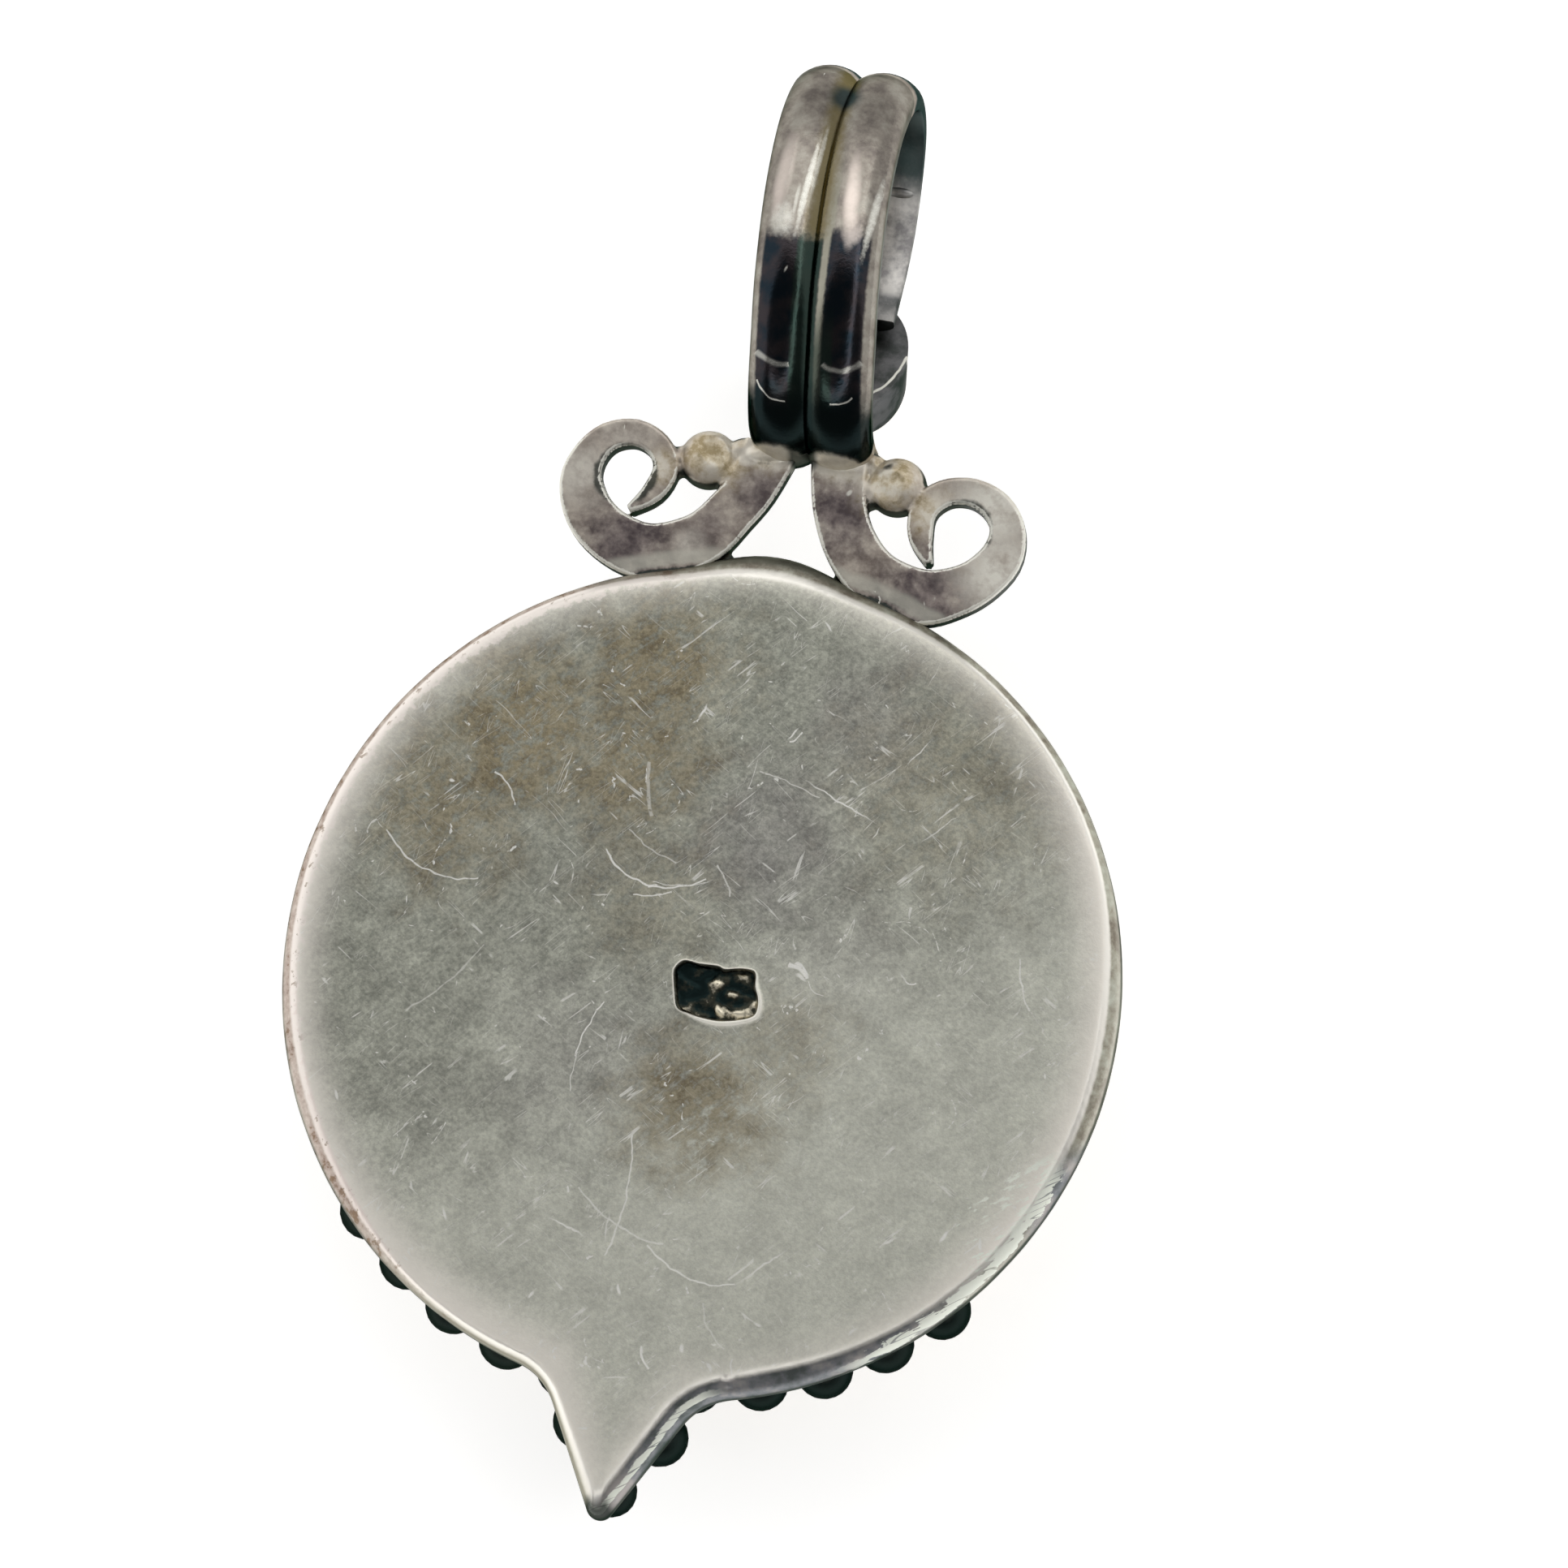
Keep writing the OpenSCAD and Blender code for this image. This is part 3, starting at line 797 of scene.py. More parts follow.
marks = {
    # from, to, bow to the left, half width, strength
    "scratches": [
        ((-13.96, 3.78), (-9.7, 2.4), -0.75, 0.05, 0.9), ((-14.7, 3.41), (-14.41, 4.02), 0.12, 0.04, 0.8),
        ((-14.41, 4.02), (-14.1, 3.75), 0.05, 0.03, 0.6), ((-4.8, 4.5), (-2.3, 3.35), -0.35, 0.055, 1),
        ((-2.7, 3.3), (-0.4, 4.0), -0.22, 0.06, 1), ((-2.5, 3.5), (-0.35, 3.85), -0.15, 0.03, 0.8),
        ((-5.08, 2.53), (-4.08, 2.65), 0.04, 0.04, 0.7), ((-3.25, 2.8), (-1.69, 3.2), -0.08, 0.045, 0.9),
        ((-0.1, 4.66), (0.75, 3.42), 0.12, 0.05, 0.7), ((-4.0, 5.5), (-1.7, 4.45), -0.15, 0.045, 0.6),
        ((2.6, 8.85), (6.3, 7.4), 0.05, 0.045, 1), ((6.3, 7.4), (6.05, 6.8), 0.03, 0.035, 0.8),
        ((0.9, 8.8), (3.6, 8.1), 0.1, 0.035, 0.7), ((-10.0, 6.9), (-8.85, 5.6), 0.2, 0.045, 0.9),
        ((-3.52, -1.76), (-4.22, -4.17), -0.15, 0.04, 1), ((-4.15, -4.0), (-4.2, -5.7), -0.1, 0.035, 0.7),
        ((-1.3, -6.9), (-1.4, -12.1), 0.35, 0.05, 0.8), ((13.0, 3.0), (13.75, 0.95), -0.15, 0.045, 0.9),
        ((7.75, 11.4), (6.8, 10.0), 0.02, 0.035, 0.8), ((-3.7, 8.4), (-3.15, 6.2), -0.08, 0.11, 0.5),
        ((-3.0, -9.5), (0.9, -11.2), -0.4, 0.05, 0.7), ((-8.9, -0.3), (-11.6, -3.6), 0.2, 0.045, 0.5),
        ((9.5, 8.5), (8.0, 6.9), 0.03, 0.035, 0.7),
        ((4.17, -12.26), (6.08, -10.3), 0.05, 0.05, 0.8), 
        # short strokes and flecks
        ((3.7, 1.11), (4.5, 0.7), 0.08, 0.14, 1), ((3.93, 1.24), (4.57, 0.58), 0.1, 0.1, 1),
        ((4.0, 0.75), (4.6, 0.45), -0.05, 0.09, 0.9), ((4.67, 0.51), (5.33, 0.03), -0.1, 0.03, 0.8),
        ((1.75, 10.25), (2.2, 10.93), 0.06, 0.045, 1), ((1.87, 10.24), (2.31, 10.72), -0.08, 0.045, 1),
        ((-2.05, 10.48), (-1.79, 11.31), 0.03, 0.06, 1), ((-2.2, 10.3), (-1.95, 10.6), 0.03, 0.05, 0.9),
        ((8.51, 1.28), (9.03, 1.26), -0.1, 0.05, 1), ((0.89, -15.39), (1.34, -16.27), -0.14, 0.065, 1),
        ((0.9, -15.4), (1.0, -15.75), 0.06, 0.04, 0.9), ((2.45, -14.94), (2.54, -15.45), 0.02, 0.09, 1),
        ((-4.08, -10.92), (-2.19, -11.47), 0.06, 0.05, 0.9), ((-0.63, -13.04), (-0.49, -13.6), 0.02, 0.09, 1),
        ((-4.15, -14.36), (-3.93, -13.98), 0.04, 0.08, 1), ((11.9, -9.13), (12.35, -8.5), 0.05, 0.08, 1),
        ((13.53, -8.5), (13.7, -9.15), 0.02, 0.07, 1), ((4.56, -15.23), (4.78, -16.03), -0.1, 0.05, 0.8),
        ((-1.08, -19.21), (-0.63, -19.05), 0.03, 0.06, 0.9), ((-15.33, -2.84), (-14.97, -3.12), 0.03, 0.08, 0.8),
        ((-12.51, 0.78), (-12.52, 1.13), 0.02, 0.04, 0.9), ((-6.69, 2.79), (-6.39, 2.68), -0.04, 0.06, 1),
        ((-11.82, 6.25), (-11.53, 6.2), 0.03, 0.07, 1), ((2.3, 15.55), (2.75, 15.1), 0.04, 0.06, 0.9),
        ((-8.4, -11.3), (-8.1, -11.85), 0.05, 0.07, 0.9), ((-13.85, -7.35), (-13.5, -7.8), 0.04, 0.07, 0.9),
        ((0.26, -11.29), (4.15, -12.26), -0.55, 0.05, 0.9), ((9.58, -9.67), (10.32, -9.13), 0.04, 0.055, 0.8),
        ((-0.57, -17.03), (0.62, -16.71), -0.04, 0.05, 0.7), ((2.99, -13.21), (4.28, -14.89), -0.3, 0.04, 0.6),
        ((9.0, -13.46), (9.38, -13.0), 0.02, 0.08, 0.8), ((5.1, -13.58), (5.55, -13.75), 0.03, 0.07, 0.8),
        ((3.62, -15.6), (3.86, -15.98), 0.02, 0.08, 0.9), ((-1.5, -10.2), (-1.5, -11.65), 0.06, 0.045, 0.7),
    ],
    # direction, how often the pattern repeats along and across, half width, seed, and where they show
    "hairlines": [(48, (0.14, 2.6), 0.009, 1, (0.5, 0.6)), (-32, (0.16, 2.2), 0.007, 4, (0.46, 0.38)),
                  (82, (0.16, 2.0), 0.006, 7, (0.56, 0.64))],
    # middle, radius and strength
    "brown": [((-9.0, 8.8), 6.0, 1), ((-4.2, 12.4), 5.2, 0.95), ((-11.6, 5.2), 5.5, 0.8), ((-4.6, 8.4), 5.5, 0.9),
              ((1.2, -5.4), 5.0, 0.85), ((9.0, 9.6), 7.0, 0.4), ((4.2, -2.4), 4.0, 0.4), ((-2.5, 3.0), 4.5, 0.35)],
    "violet": [((2.0, 6.0), 5.0, 0.8), ((5.0, 11.5), 4.0, 0.6), ((-4.0, -4.5), 5.0, 0.5), ((5.5, 1.5), 4.5, 0.5)],
}


def scratchMask(made, first, last, bow, width, strength, core=0.35):
    # part of a ring through both ends, faded at the ends, or a long thin oval where it is as good as straight
    a, b = Vector(first), Vector(last)
    chord = b - a
    if abs(bow) < 0.065:
        oval = made.node("ShaderNodeMapping", {"vector_type": "TEXTURE"}, {
            "Vector": made.flat, "Location": (*(a + b) / 2, 0), "Rotation": (0, 0, math.atan2(chord.y, chord.x)),
            "Scale": (0.55 * chord.length, 1.15 * width, 1)}).outputs[0]
        far = made.wire("ShaderNodeVectorMath", {"operation": "LENGTH"}, {0: oval}, "Value")
        return far.step(1, core, strength)
    left = Vector((-chord.y, chord.x)).normalized()
    side = 1 if bow > 0 else -1
    radius = (chord.length ** 2 / 4 + bow * bow) / (2 * abs(bow))
    middle = (a + b) / 2 + left * (bow - side * radius)
    reach = math.asin(min(1, chord.length / 2 / radius))
    far = made.distance(middle)
    line = (far - radius).size().step(width, core * width, strength)
    end = made.facing(left * side).maths("MULTIPLY_ADD", 1.0, far * -math.cos(reach))
    start = middle.dot(left * side)
    return line * end.step(start, start + (0.06 - 0.1 * core) * radius * reach * reach)


def highestOf(masks):
    total = masks[0]
    for mask in masks[1:]:
        total = total.highest(mask)
    return total


def zones(made, rows, rough):
    masks = []
    for spot, radius, strength in rows:
        far = rough.maths("MULTIPLY_ADD", 1.2 * radius, made.distance(spot))
        masks.append(far.step(1.6 * radius, 0.75 * radius, strength))
    return highestOf(masks)


def hairlines(made, angle, repeats, width, seed):
    # long thin lines where a noise that is drawn out along them passes its middle level
    drawn = made.clouds(1, 1, 0.4, made.turned(angle, (*repeats, 1), (seed, 2 * seed, 0)), flat=True)
    return (drawn - 0.5).size().step(width, 0.3 * width)


def nicks(made, ragged, *rows):
    # small bent strokes in some cells: how close the cells are, share of them, size and seed
    bent, masks = made.bent(0.35, 5), []
    for scale, share, size, seed in rows:
        turned = made.turned(50 + 70 * seed, (0.55, 1.8, 1), (seed, seed, 0), bent)
        cells = made.node("ShaderNodeTexVoronoi", {"voronoi_dimensions": "2D"}, {"Vector": turned, "Scale": scale})
        chance = made.wire("ShaderNodeSeparateColor", {}, {"Color": cells.outputs["Color"]})
        far = Wire(made.sheet, cells.outputs["Distance"]) + ragged * 0.35
        masks.append(far.step(size, 0.5 * size) * chance.step(1 - share, 1.02 - share))
    return highestOf(masks)


def silverFinish(name, wobble, middle, fine):
    made = Finish(name)
    made.shader.inputs["Specular Tint"].default_value = (0.3, 0.33, 0.31, 1)
    made.setFlat(wobble)
    made.middle, made.fine = made.clouds(*middle), made.clouds(*fine)
    made.drift, made.grit = made.middle - 0.5, made.fine - 0.5
    return made


def paintPlate(made):
    # greenish grey with violet and brown places, and paler towards the bottom and right, a painted gradient of light
    slow, middle, fine = made.clouds(0.13, 2, 0.55), made.middle, made.fine
    grain = made.clouds(1.3, 2, 0.7, made.turned(48, (0.55, 2.6, 1)))
    brown = zones(made, marks["brown"], middle) * (grain * 0.7 + fine * 1.3).step(0.7, 1.1)
    pale = (made.x * 0.6 - made.y * 0.8 + (slow - 0.5) * 12 + made.drift * 6).step(-6, 10)
    made.tone = made.ramp(slow * 0.4 + middle * 0.4 + fine * 0.2, [
        (0.36, (0.42, 0.425, 0.37)), (0.5, (0.48, 0.49, 0.42)), (0.62, (0.55, 0.56, 0.48))])
    made.paint(zones(made, marks["violet"], middle) * 0.55, (0.41, 0.385, 0.385))
    # painted light: the plate paler towards the bottom and right
    made.paint(pale * 0.74, (0.9, 0.905, 0.8))
    made.paint(brown * 0.9, (0.38, 0.32, 0.205))
    made.paint(brown * (fine * 0.6 + middle * 0.4).step(0.5, 0.42) * 0.6, (0.21, 0.165, 0.1))
    crisp, tiny = fine.step(0.36, 0.64), made.clouds(6, 2, 0.7)
    speckle = 0.69 + 0.16 * crisp + 0.13 * grain.step(0.35, 0.65) + 0.34 * tiny.step(0.32, 0.68)
    made.paint(1 - 0.6 * pale, speckle, "MULTIPLY")
    return grain


def insetOf(made):
    # how far a place is from the outline, with the tip's flanks and the swell at the top
    half, wedge = tipWedge()
    lean = math.radians(body["tipLean"])
    aside = (made.x * math.cos(lean) + made.y * math.sin(lean)).size()
    inset = (wedge - aside * math.cos(half) + made.y * math.sin(half)) * made.y.step(-13, -15)
    inset = inset.highest(body["radius"] - made.distance((0, 0)))
    return inset + made.x.size().step(4.8, 0, 0.62) * made.y.step(8, 12)


def paintMarks(made, inset):
    # a painted cream highlight towards the edge, most of all at the lower left, and scratched
    x, y = made.x, made.y
    sides = (0 - x * 0.85 - y * 0.5).step(3, 15).highest((x * 0.98 - y * 0.1).step(8, 16))
    near = inset.step(3.4, 0.5)
    glow = near * near * (0.5 + 0.45 * sides)
    # painted highlight inside the edge
    made.paint(glow, (0.99, 0.94, 0.86))
    ragged = made.clouds(6, 2, flat=True) - 0.5
    patchy = made.clouds(0.8, 2, 0.5, flat=True)
    lines = highestOf([hairlines(made, *row) * patchy.step(*patch) for *row, patch in marks["hairlines"]]) * 0.7
    spots = nicks(made, ragged, (0.9, 0.1, 0.065, 1), (1.7, 0.08, 0.09, 2)) * 0.9
    deep = highestOf([scratchMask(made, *row) for row in marks["scratches"]]) * (ragged + 0.55).step(0.2, 0.45)
    bright = highestOf([deep, lines, spots]) * made.z.step(9.2, 9.3)
    made.paint(bright, (0.97, 0.96, 0.91))
    return [bright, glow * made.height.step(9.24, 9.34)]


def paintEdge(made, inset, grain):
    # rounded edge: a bright line along the worn arris, painted as a highlight, then a duller slope, pink and specked at
    # the left, painted light at the lower left, painted shade at the top under the strips, and darker towards the
    # bottom of the wall
    x, y, z, middle, fine, height = made.x, made.y, made.z, made.middle, made.fine, made.height
    left, lowLeft = (0 - x + y * 0.1).step(3, 12), (0 - x - y * 0.8).step(-4, 14)
    slopeTone = made.ramp(fine * 0.4 + middle * 0.6, [
        (0.38, (0.24, 0.21, 0.17)), (0.5, (0.42, 0.40, 0.33)), (0.62, (0.55, 0.56, 0.48))])
    slopeTone = made.blend(left * 0.9, slopeTone, made.ramp(fine * 0.6 + middle * 0.4, [
        (0.38, (0.25, 0.17, 0.13)), (0.46, (0.5, 0.4, 0.35)), (0.62, (0.7, 0.61, 0.55))]))
    # painted light: at the lower left the slope goes light, cream white higher up
    slopeTone = made.blend((lowLeft - left).highest(0) * 0.9, slopeTone, made.blend(
        height.step(8.9, 9.15), (0.34, 0.32, 0.25), (1, 0.97, 0.88)))
    made.paint(height.step(9.26, 9.1) * (0.7 + 0.3 * z.step(8.7, 9.0)), slopeTone)
    # painted shade: the upper wall at the top, under the scroll strips, darker
    made.paint(y.step(16.2, 17.4) * height.step(9.12, 8.95) * 0.75, (0.16, 0.165, 0.13))
    # painted highlight: a bright line along the arris
    arris = height.step(9.345, 9.28) * height.step(9.11, 9.22)
    made.paint(arris * 0.85, made.blend(left, (1, 0.97, 0.9), (0.9, 0.79, 0.74)))
    # pinkish white painted highlight, in a ragged band inside the rim at the left and upper left
    band = (inset + made.grit * 1.1 + made.drift * 0.5).step(0.95, 0.7) * z.step(9.08, 9.2)
    band = band * (y * 0.4 - x).step(7, 14)
    made.paint(band * 0.9, (1, 0.93, 0.87))
    specks = (0.45 * fine + 0.2 * grain + 0.35 * middle).step(0.455, 0.41) * left * z.step(9.385, 9.25)
    made.paint(specks * 0.7, (0.3, 0.21, 0.14))
    outline = z.step(8.72, 8.5).highest(z.step(8.95, 8.7) * left * 0.7)
    made.paint(outline * 0.85, made.ramp(middle, [(0.4, (0.1, 0.11, 0.09)), (0.6, (0.26, 0.27, 0.22))]))
    return arris, band * 0.6


def paintWall(made):
    # dark wall at the lower right, a painted dark reflection and shade, with a worn, bright streak, and a thinner one
    # on the tip
    x, y, z = made.x, made.y, made.z
    lowRight = (x * 0.62 - y * 0.78).step(13.2, 14.4) * x.step(-0.2, 0.6)
    along = x * 0.78 + y * 0.62
    roughly = along + made.drift * 6
    shade = roughly.step(4.5, 0.5).highest(roughly.step(6.8, 8.2) * roughly.step(13, 10.5))
    # painted dark reflection and shade on the lower right wall
    made.paint(lowRight * made.height.step(9.27, 9.18) * (0.25 + 0.7 * shade), made.ramp(made.middle, [
        (0.38, (0.12, 0.14, 0.14)), (0.5, (0.26, 0.27, 0.29)), (0.62, (0.46, 0.43, 0.42))]))
    chips = made.clouds(1, 3, 0.65, made.turned(38, (0.9, 3.5, 3.5)))
    torn = made.grit * 0.4 + (chips - 0.5) * 1.1
    streak = (z - 8.74 - (along + 1) * 0.045 + torn * 0.85).size().step(0.27, 0.2)
    streak = streak * along.step(-3.0, 0) * along.step(10, 8.6)
    second = (z - 8.98 + torn * 0.16).size().step(0.11, 0.07) * along.step(-6.5, -8)
    streak = streak.highest(second) * lowRight.step(0, 0.2)
    streak = streak * (1 - hairlines(made, 38, (0.3, 3.2), 0.03, 9) * 0.75)
    # painted shade: the bottom of the lower right wall darkest
    made.paint(lowRight * z.step(8.6, 8.4) * 0.8, (0.1, 0.115, 0.1))
    made.paint(streak, (0.97, 1, 0.9))
    made.paint(made.distance((0.3, -22.45)).step(1.05, 0.5) * z.step(9.25, 9.0) * 0.9, (0.03, 0.04, 0.035))
    return streak * 0.9


def paintPunch(made):
    # dark floor with rubbed high places and a bright bruised lip
    x, y, z = made.x, made.y, made.z
    acrossPunch, alongPunch = (x - punch["at"][0]).size(), (y - punch["at"][1]).size()
    punched = acrossPunch.step(2.3, 2.2) * alongPunch.step(1.6, 1.5)
    rubbed = (z - 8.93) * 3.0 + made.grit * 0.9 + (x - 0.95) * 0.08 - (y + 0.6) * 0.1
    made.paint(z.step(9.37, 9.25) * punched, made.ramp(rubbed, [
        (0.3, (0.012, 0.022, 0.022)), (0.55, (0.06, 0.06, 0.045)), (0.78, (0.85, 0.78, 0.62))]))
    lip = punched * z.step(9.402, 9.42)
    made.paint(lip, (0.98, 0.95, 0.86))
    return lip


def bodySilver():
    made = silverFinish("satinBodySilver", 0.2, (0.55, 4, 0.62), (2.6, 3, 0.65))
    z = made.z
    made.height = z + made.grit * 0.05
    grain, inset = paintPlate(made), insetOf(made)
    shine = paintMarks(made, inset)
    arris, band = paintEdge(made, inset, grain)
    shine += [band, paintWall(made), paintPunch(made)]
    # oxidised front, worn on the granules
    front = z.step(7.85, 7.6)
    made.paint(front * 0.96, (0.012, 0.02, 0.018))
    made.paint(front * (z.step(6.4, 5.3) + z.step(5.2, 4.3)).lowest(1) * 0.85, (0.4, 0.39, 0.36))
    made.feed(Base_Color=made.tone, Roughness=0.36 + 0.16 * made.middle - 0.1 * arris,
              Metallic=1 - 0.7 * highestOf(shine))
    made.relief((made.fine * 0.03, 0.5))
    return made.material


# Wear on the hanger

hangerMarks = {
    "violet": [((-6.6, 17.5), 2.8, 1), ((-1.4, 20.6), 1.9, 0.85), ((2.0, 20.3), 2.4, 1), ((6.2, 17.3), 3.0, 1),
               ((-3.4, 18.8), 1.8, 0.6)],
    "pale": [((-9.2, 20.2), 2.2, 0.55), ((-7.6, 22.3), 2.0, 0.3), ((9.0, 18.9), 2.7, 1), ((8.2, 21.4), 2.8, 1),
             ((-4.0, 17.9), 1.0, 0.4)],
    "solder": [((-3.6, 21.9), 2.0, 1), ((3.7, 22.0), 2.0, 1), ((-1.5, 22.4), 1.4, 0.8), ((1.6, 22.5), 1.4, 0.8),
               ((-5.9, 21.0), 1.2, 0.7), ((5.7, 21.0), 1.5, 0.8)],
    # middles of the eyes of the scrolls, dark round their edges
    "eyes": [((-7.25, 20.45), 1.45), ((7.15, 20.45), 1.38)],
    # thin light lines across the foot of the bail, and one on the back of the setting
    "lines": [((-2.4, 25.85), (-0.9, 25.5), -0.2, 0.16, 0.35), ((0.45, 25.7), (2.05, 26.1), -0.35, 0.16, 0.35),
              ((-2.15, 24.75), (-0.8, 24.05), -0.3, 0.05, 0.7), ((1.0, 24.2), (1.9, 24.6), -0.14, 0.05, 0.7),
              ((-1.75, 29.1), (-1.65, 29.5), 0.02, 0.07, 0.7)],
    "stripLines": [((-0.5, 21.9), (-2.1, 18.3), 0.5, 0.07, 0.6), ((2.05, 21.05), (2.3, 21.35), 0.03, 0.12, 0.7)],
    "cupLine": ((1.67, 26.34), (2.88, 28.47), -0.22, 0.08, 1),
    # painted highlights above the painted dark reflection on the lower half: place across the bail and along, half
    # width and length, slant and strength
    "white": [(-0.8, 33.1, 0.16, 2.5, 0.08, 1), (-0.52, 34.2, 0.13, 2.0, 0.06, 0.55), (-1.6, 31.5, 0.6, 0.9, 0, 0.6),
              (2.12, 32.2, 0.18, 2.1, 0.1, 0.85), (-1.15, 32.3, 0.1, 1.0, 0.05, 0.5)],
    "pink": [(-1.85, 33.4, 0.42, 2.3, 0.05, 0.8), (1.18, 32.7, 0.4, 2.3, -0.06, 0.95), (1.35, 31.3, 0.5, 0.6, 0, 0.6)],
    # middle of the bail across, from its place along
    "lean": (-0.597, -0.0862, 0.00457), "leanFrom": 30,
}


def gleams(made, rows, across, rough):
    masks = []
    for place, along, width, length, slant, strength in rows:
        wide = (across - (made.y - along) * slant - place) / width
        tall = (made.y - along) / length
        masks.append((wide * wide + tall * tall + rough).step(1.15, -0.4, strength))
    return highestOf(masks)


def paintStrips(made, mottle):
    # brown grey with violet and paler places, yellowish solder, and the eyes dark round their edges
    y, z, middle, drift, grit = made.y, made.z, made.middle, made.drift, made.grit
    made.tone = made.ramp(mottle, [(0.36, (0.3, 0.25, 0.22)), (0.5, (0.47, 0.41, 0.36)), (0.64, (0.66, 0.6, 0.52))])
    violet, pale, solder = (zones(made, hangerMarks[key], middle) for key in ("violet", "pale", "solder"))
    made.paint(violet * 0.9, made.ramp(mottle, [(0.4, (0.1, 0.08, 0.09)), (0.62, (0.32, 0.27, 0.26))]))
    made.paint(pale * 0.85, made.ramp(mottle, [(0.36, (0.68, 0.62, 0.54)), (0.54, (1, 0.98, 0.89))]))
    made.paint(solder * 0.85, made.ramp(mottle, [
        (0.38, (0.46, 0.37, 0.21)), (0.46, (0.76, 0.66, 0.47)), (0.56, (1, 0.95, 0.82))]))
    for spot, radius in hangerMarks["eyes"]:
        ring = (made.distance(spot) + drift * 0.5).step(radius, radius - 0.2) * z.step(8.3, 8.5)
        made.paint(ring * 0.85, (0.04, 0.05, 0.045))
    # ground light where the strips meet the body, a painted shadow line under it, and painted shade on the sides and
    # the balls' lower sides
    reach = made.distance((0, 0)) + drift * 0.5
    made.paint(reach.step(17.4, 17.6) * reach.step(18.3, 17.95) * z.step(8.6, 8.75) * 0.6, (0.72, 0.71, 0.62))
    # painted shadow where the strips meet the body
    made.paint(reach.step(17.45, 17.35) * 0.9, (0.04, 0.055, 0.05))
    low, tops = (z + grit * 0.1).step(8.74, 8.6) * y.step(23.4, 23.0), z.step(8.15, 8.35) * y.step(24.4, 23.6)
    strips = tops
    for ballX, ballY in scrolls["balls"]:
        low = low * made.distance((ballX - 0.15, ballY + 0.3)).step(1.05, 1.25)
        strips = strips * made.distance((ballX, ballY)).step(1.25, 1.4)
    # painted shade on the strips' sides and the lower sides of the balls
    made.paint(low * 0.93, (0.03, 0.042, 0.036))
    # edges painted light, as wear and highlight, and creases painted dark as shade, apart from the soldered foot of the
    # bail
    bend = made.wire("ShaderNodeAttribute", {"attribute_name": "bend"}, {}, "Fac")
    foot = (y + drift * 1.2).step(21.9, 21.5)
    made.paint((1 - foot) * strips * made.x.size().step(2.9, 2.3) * 0.6, (1, 0.96, 0.86))
    # painted shade in the creases
    made.paint(bend.step(-0.5, -1.8) * strips * foot * 0.85, (0.05, 0.045, 0.035))
    return solder, tops, (bend + grit * 4 + drift * 5).step(1.0, 2.6) * strips * foot, pale


def paintBail(made, across, mottle):
    # soft brown grey above; below it dark crowns and groove as painted dark reflection and shade, and light flanks as
    # painted reflection
    y, z, middle, drift, grit = made.y, made.z, made.middle, made.drift, made.grit
    back = (y + drift * 0.4).step(22.35, 22.6) * z.step(9.0, 9.15) * across.size().step(3.6, 3.3)
    border = y + drift * 1.2 + grit * 0.5 - across.step(0.3, 0.7) * 0.5
    lower, shaky = border.step(31.3, 30.6), across + grit * 0.12
    made.paint(back, made.ramp(mottle, [
        (0.38, (0.17, 0.15, 0.135)), (0.5, (0.26, 0.235, 0.205)), (0.62, (0.34, 0.32, 0.28))]))
    # painted reflection: light flanks
    flank = ((across - 0.4).size() + grit * 0.16).step(0.3, 0.1) * y.step(36, 32)
    made.paint(back * flank * 0.8, (0.33, 0.32, 0.26))
    # painted dark reflection on the crowns below the border
    crown = (shaky + 1.02).size().step(1.3, 1.16).highest((shaky - 1.38).size().step(0.92, 0.78))
    made.paint(back * lower * crown * 0.97, made.ramp(middle, [
        (0.4, (0.012, 0.022, 0.032)), (0.6, (0.035, 0.03, 0.035))]))
    groove = ((across + 0.15).size() + grit * 0.4).step(0.75, 0.15) * back
    made.paint(groove * (1 - lower) * 0.85, (0.17, 0.14, 0.065))
    # painted shade beside the groove
    dark = (shaky + 0.3).size().step(0.6, 0.45).highest((shaky - 0.2).size().step(0.9, 0.7) * y.step(28.5, 26))
    made.paint(dark * back * lower * 0.8, (0.03, 0.05, 0.04))
    made.paint(made.distance((-1.05, 37.6)).step(0.9, 0.3) * back * 0.85, (0.02, 0.04, 0.05))
    # painted dark reflection and shade at the foot of the bail
    made.paint(back * (y + drift * 1.5).step(25.4, 23.6) * 0.93, (0.012, 0.02, 0.02))
    # inside of the loop and back of the setting
    inside = z.step(8.9, 8.6) * y.step(23.9, 24.4)
    made.paint(inside, made.ramp(middle, [(0.4, (0.3, 0.29, 0.29)), (0.6, (0.68, 0.66, 0.63))]))
    made.paint(inside * border.step(34.2, 35.8) * 0.93, (0.03, 0.055, 0.055))
    made.paint(inside * y.step(32, 29.5) * 0.6, (0.12, 0.12, 0.115))
    cup = inside * y.step(31.0, 30.6) * z.step(5.7, 5.5)
    made.paint(cup * 0.85, made.ramp(middle, [(0.4, (0.05, 0.058, 0.056)), (0.6, (0.14, 0.142, 0.15))]))
    return back, lower, cup


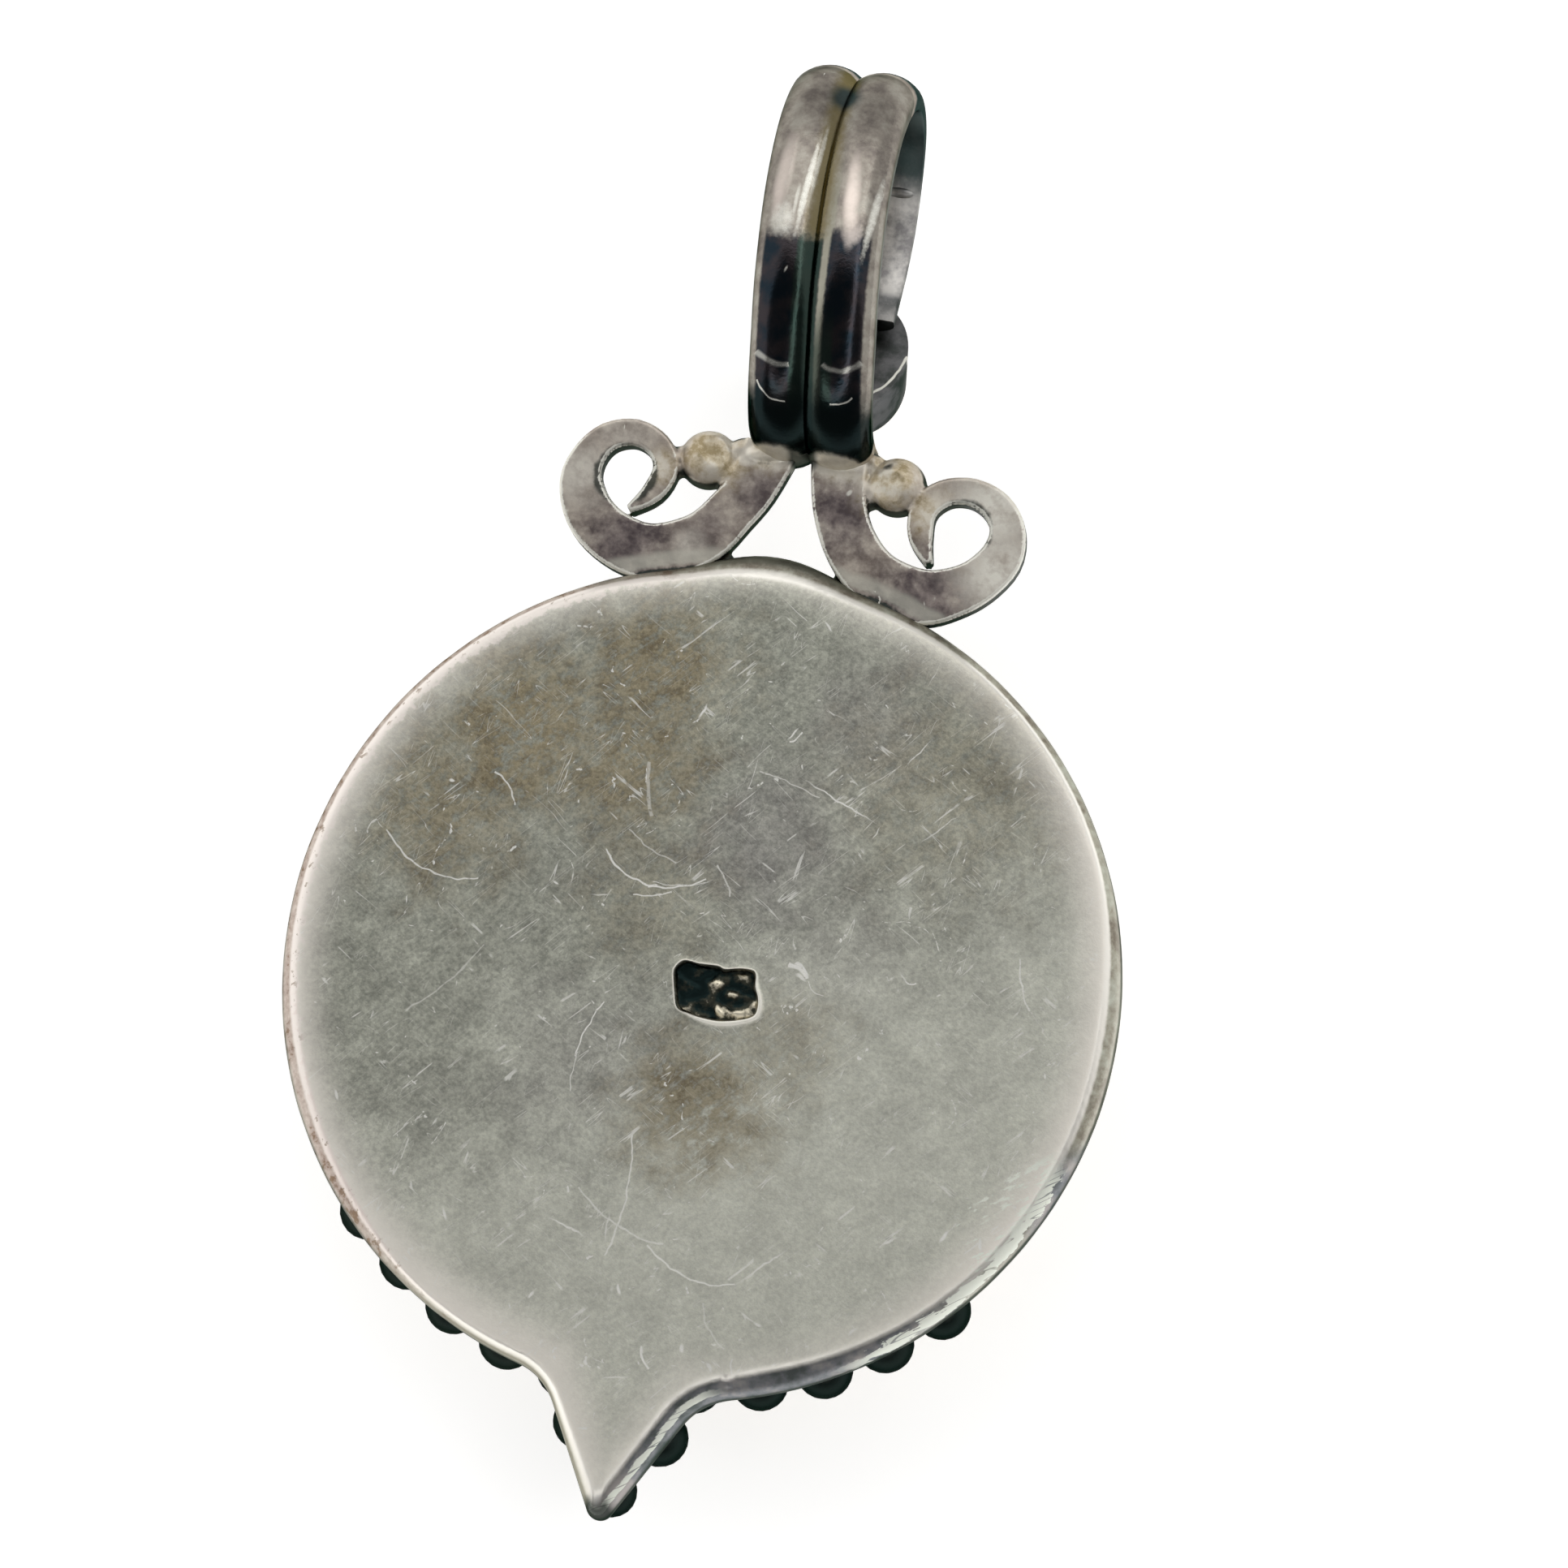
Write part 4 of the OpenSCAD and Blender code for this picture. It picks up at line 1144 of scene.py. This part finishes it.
def hangerSilver():
    # tarnish, with painted reflections, highlights and shade
    made = silverFinish("hangerSilverTarnishAndPaintedLight", 0.14, (0.9, 4, 0.62), (4.2, 3, 0.65))
    y, z, grit = made.y, made.z, made.grit
    up = y - hangerMarks["leanFrom"]
    a, b, c = hangerMarks["lean"]
    across = made.x - (a + b * up + c * up * up)
    mottle = 0.8 * made.middle + 0.2 * made.fine
    solder, tops, edge, pale = paintStrips(made, mottle)
    back, lower, cup = paintBail(made, across, mottle)

    onBail = highestOf([scratchMask(made, *row, 0.2) for row in hangerMarks["lines"]]) * back
    onCup = scratchMask(made, *hangerMarks["cupLine"]) * cup * z.step(4.2, 4.4)
    onStrips = highestOf([scratchMask(made, *row) for row in hangerMarks["stripLines"]]) * z.step(8.75, 8.8)
    # painted highlights, white and pink, on the bail
    white = gleams(made, hangerMarks["white"], across, grit * 1.6)
    pink = gleams(made, hangerMarks["pink"], across, made.drift * 1.6)
    made.paint(pink * back * 0.9, (0.75, 0.66, 0.6))
    spots = nicks(made, grit, (1.1, 0.06, 0.09, 1)) * z.step(8.8, 8.84) * (1 - back * lower)
    bright = highestOf([onBail, onCup, onStrips * (1 - back), spots * 0.7, white * back, edge * 0.8])
    made.paint(bright, (0.95, 0.94, 0.86))
    # painted shade between the legs at the foot of the bail
    made.paint(made.distance((0.02, 22.3)).step(0.75, 0.45) * (1 - back) * 0.9, (0.03, 0.04, 0.035))
    plain = tops * (1 - back)
    made.feed(Base_Color=made.tone, Metallic=1 - 0.6 * highestOf([bright, pale * plain * 0.8, solder * plain * 0.5]),
              Roughness=0.32 + 0.2 * made.middle - 0.26 * back * (1 - y.step(34.5, 36) * 0.6) + 0.1 * solder)
    made.relief((made.fine * 0.014, 0.5))
    return made.material


def boneFinish(name, light, mid, dark, rough):
    made = Finish(name, Metallic=0.0)
    made.shader.inputs["Subsurface Weight"].default_value = 0.18
    made.shader.inputs["Subsurface Scale"].default_value = 0.0008
    made.shader.inputs["Subsurface Radius"].default_value = (1.0, 0.7, 0.45)
    grain = made.clouds(1, 4, 0.6, made.turned(25, (0.35, 2.2, 2.2)))
    slow, fine = made.clouds(0.25, 3), made.clouds(3.5, 3)
    tone = made.ramp(0.6 * grain + 0.4 * slow, [(0.35, dark), (0.5, mid), (0.65, light)])
    pores = made.clouds(1, 2, 0.5, made.turned(25, (1.2, 9, 9))).step(0.36, 0.30)
    tone = made.blend(pores * 0.5, tone, (0.45, 0.34, 0.2))
    made.feed(Base_Color=tone, Roughness=rough + 0.12 * fine)
    made.relief((fine * 0.012 + grain * 0.02, 0.4), (0 - pores * 0.01, 0.5))
    return made.material


finishes = {
    silverBody: bodySilver(),
    silverHanger: hangerSilver(),
    carvedBloom: boneFinish("carvedBone", (0.68, 0.61, 0.48), (0.58, 0.49, 0.36), (0.4, 0.31, 0.2), 0.28),
    bailCabochon: boneFinish("polishedBone", (0.72, 0.65, 0.53), (0.64, 0.56, 0.42), (0.52, 0.42, 0.28), 0.12),
}
for piece, material in finishes.items():
    piece.data.materials.clear()
    piece.data.materials.append(material)
print("finishes mixed")


# Floor, light and camera

room = {
    "floorSize": 1.6, "floor": (0.93, 0.93, 0.925), "floorGlow": 0.6,
    "walls": 0.95, "farWall": 0.6, "hood": 0.14, "hoodAt": (0.08, -0.42), "hoodSize": (0.85, 0.92),
    "window": 1.5, "windowAt": 0.592, "windowHalf": (0.5, 0.165),
    "arc": 2.2, "arcAt": (-0.153, 0.146), "arcRadius": 0.66, "arcHalf": 0.07,
}


photoCamera = {
    # its own directions, and its place from the middle of the body
    "right": (0.97435035, 0.19469441, -0.11285158), "up": (-0.16870063, 0.96383804, 0.20629187),
    "back": (0.14893452, -0.18196242, 0.971961), "at": (40.89, -39.04, 263.13),
    # sensor in millimetres, focal length and frame in the photo's own pixels, nearest and farthest place in metres
    "sensor": 36, "focal": 7800, "frame": 1932, "clip": (0.01, 5),
}


def makeSky():
    # a pale room with a dark hood over the pendant, a bright window above its bail and a thin lit edge of the hood
    world = bpy.data.worlds.new("studio")
    bpy.context.scene.world = world
    world.use_nodes = True
    sheet = world.node_tree
    here = sheet.nodes.new("ShaderNodeTexCoord")
    apart = sheet.nodes.new("ShaderNodeSeparateXYZ")
    sheet.links.new(here.outputs["Generated"], apart.inputs[0])
    x, y, z = (Wire(sheet, apart.outputs[k]) for k in range(3))
    walls = room["walls"] - 0.12 * x - y.step(0.6, 0.8, room["walls"] - room["farWall"])
    ex, ey = ((way - at) / half for way, at, half in zip((x, y), room["hoodAt"], room["hoodSize"]))
    glow = walls.towards(room["hood"], ex.maths("MULTIPLY_ADD", ex, ey * ey).step(1.15, 0.8))
    wide, deep = room["windowHalf"]
    across, along = (x / wide).size(), ((y - room["windowAt"]) / deep).size()
    glow = glow.towards(room["window"], across.highest(along).step(1.13, 0.87))
    ax, ay = x - room["arcAt"][0], y - room["arcAt"][1]
    radius, half = room["arcRadius"], room["arcHalf"]
    off = (ax.maths("MULTIPLY_ADD", ax, ay * ay) - radius ** 2).size()
    ring = off.step(2 * radius * half, 2 * radius * (half - 0.03))
    glow = walls.towards(glow + ring * (ax - ay).step(0, 0.35, room["arc"]), z.step(0.1, 0.3))
    sheet.links.new(glow.socket, sheet.nodes["Background"].inputs["Strength"])
    sheet.nodes["Background"].inputs["Color"].default_value = (1, 0.995, 0.985, 1)


def makeRoom():
    clearAll()
    bpy.ops.mesh.primitive_plane_add(size=room["floorSize"])
    floor = bpy.context.object
    floor.name = "floor"
    paper = Finish("paleFloor", Roughness=0.8)
    paper.shader.inputs["Base Color"].default_value = (*room["floor"], 1)
    paper.shader.inputs["Emission Color"].default_value = (1, 1, 1, 1)
    paper.shader.inputs["Emission Strength"].default_value = room["floorGlow"]
    floor.data.materials.append(paper.material)
    makeSky()

    bpy.ops.object.camera_add()
    camera = bpy.context.object
    camera.name = "photoCamera"
    turn = Matrix([photoCamera[way] for way in ("right", "up", "back")]).transposed().to_4x4()
    camera.matrix_world = Matrix.Translation(Vector(photoCamera["at"]) * mm + bodyMiddle) @ turn
    camera.data.sensor_width = photoCamera["sensor"]
    camera.data.lens = photoCamera["sensor"] * photoCamera["focal"] / photoCamera["frame"]
    camera.data.clip_start, camera.data.clip_end = photoCamera["clip"]
    bpy.context.scene.camera = camera
    bpy.context.scene.view_settings.view_transform = "Standard"


makeRoom()
print("room lit")

clearAll()
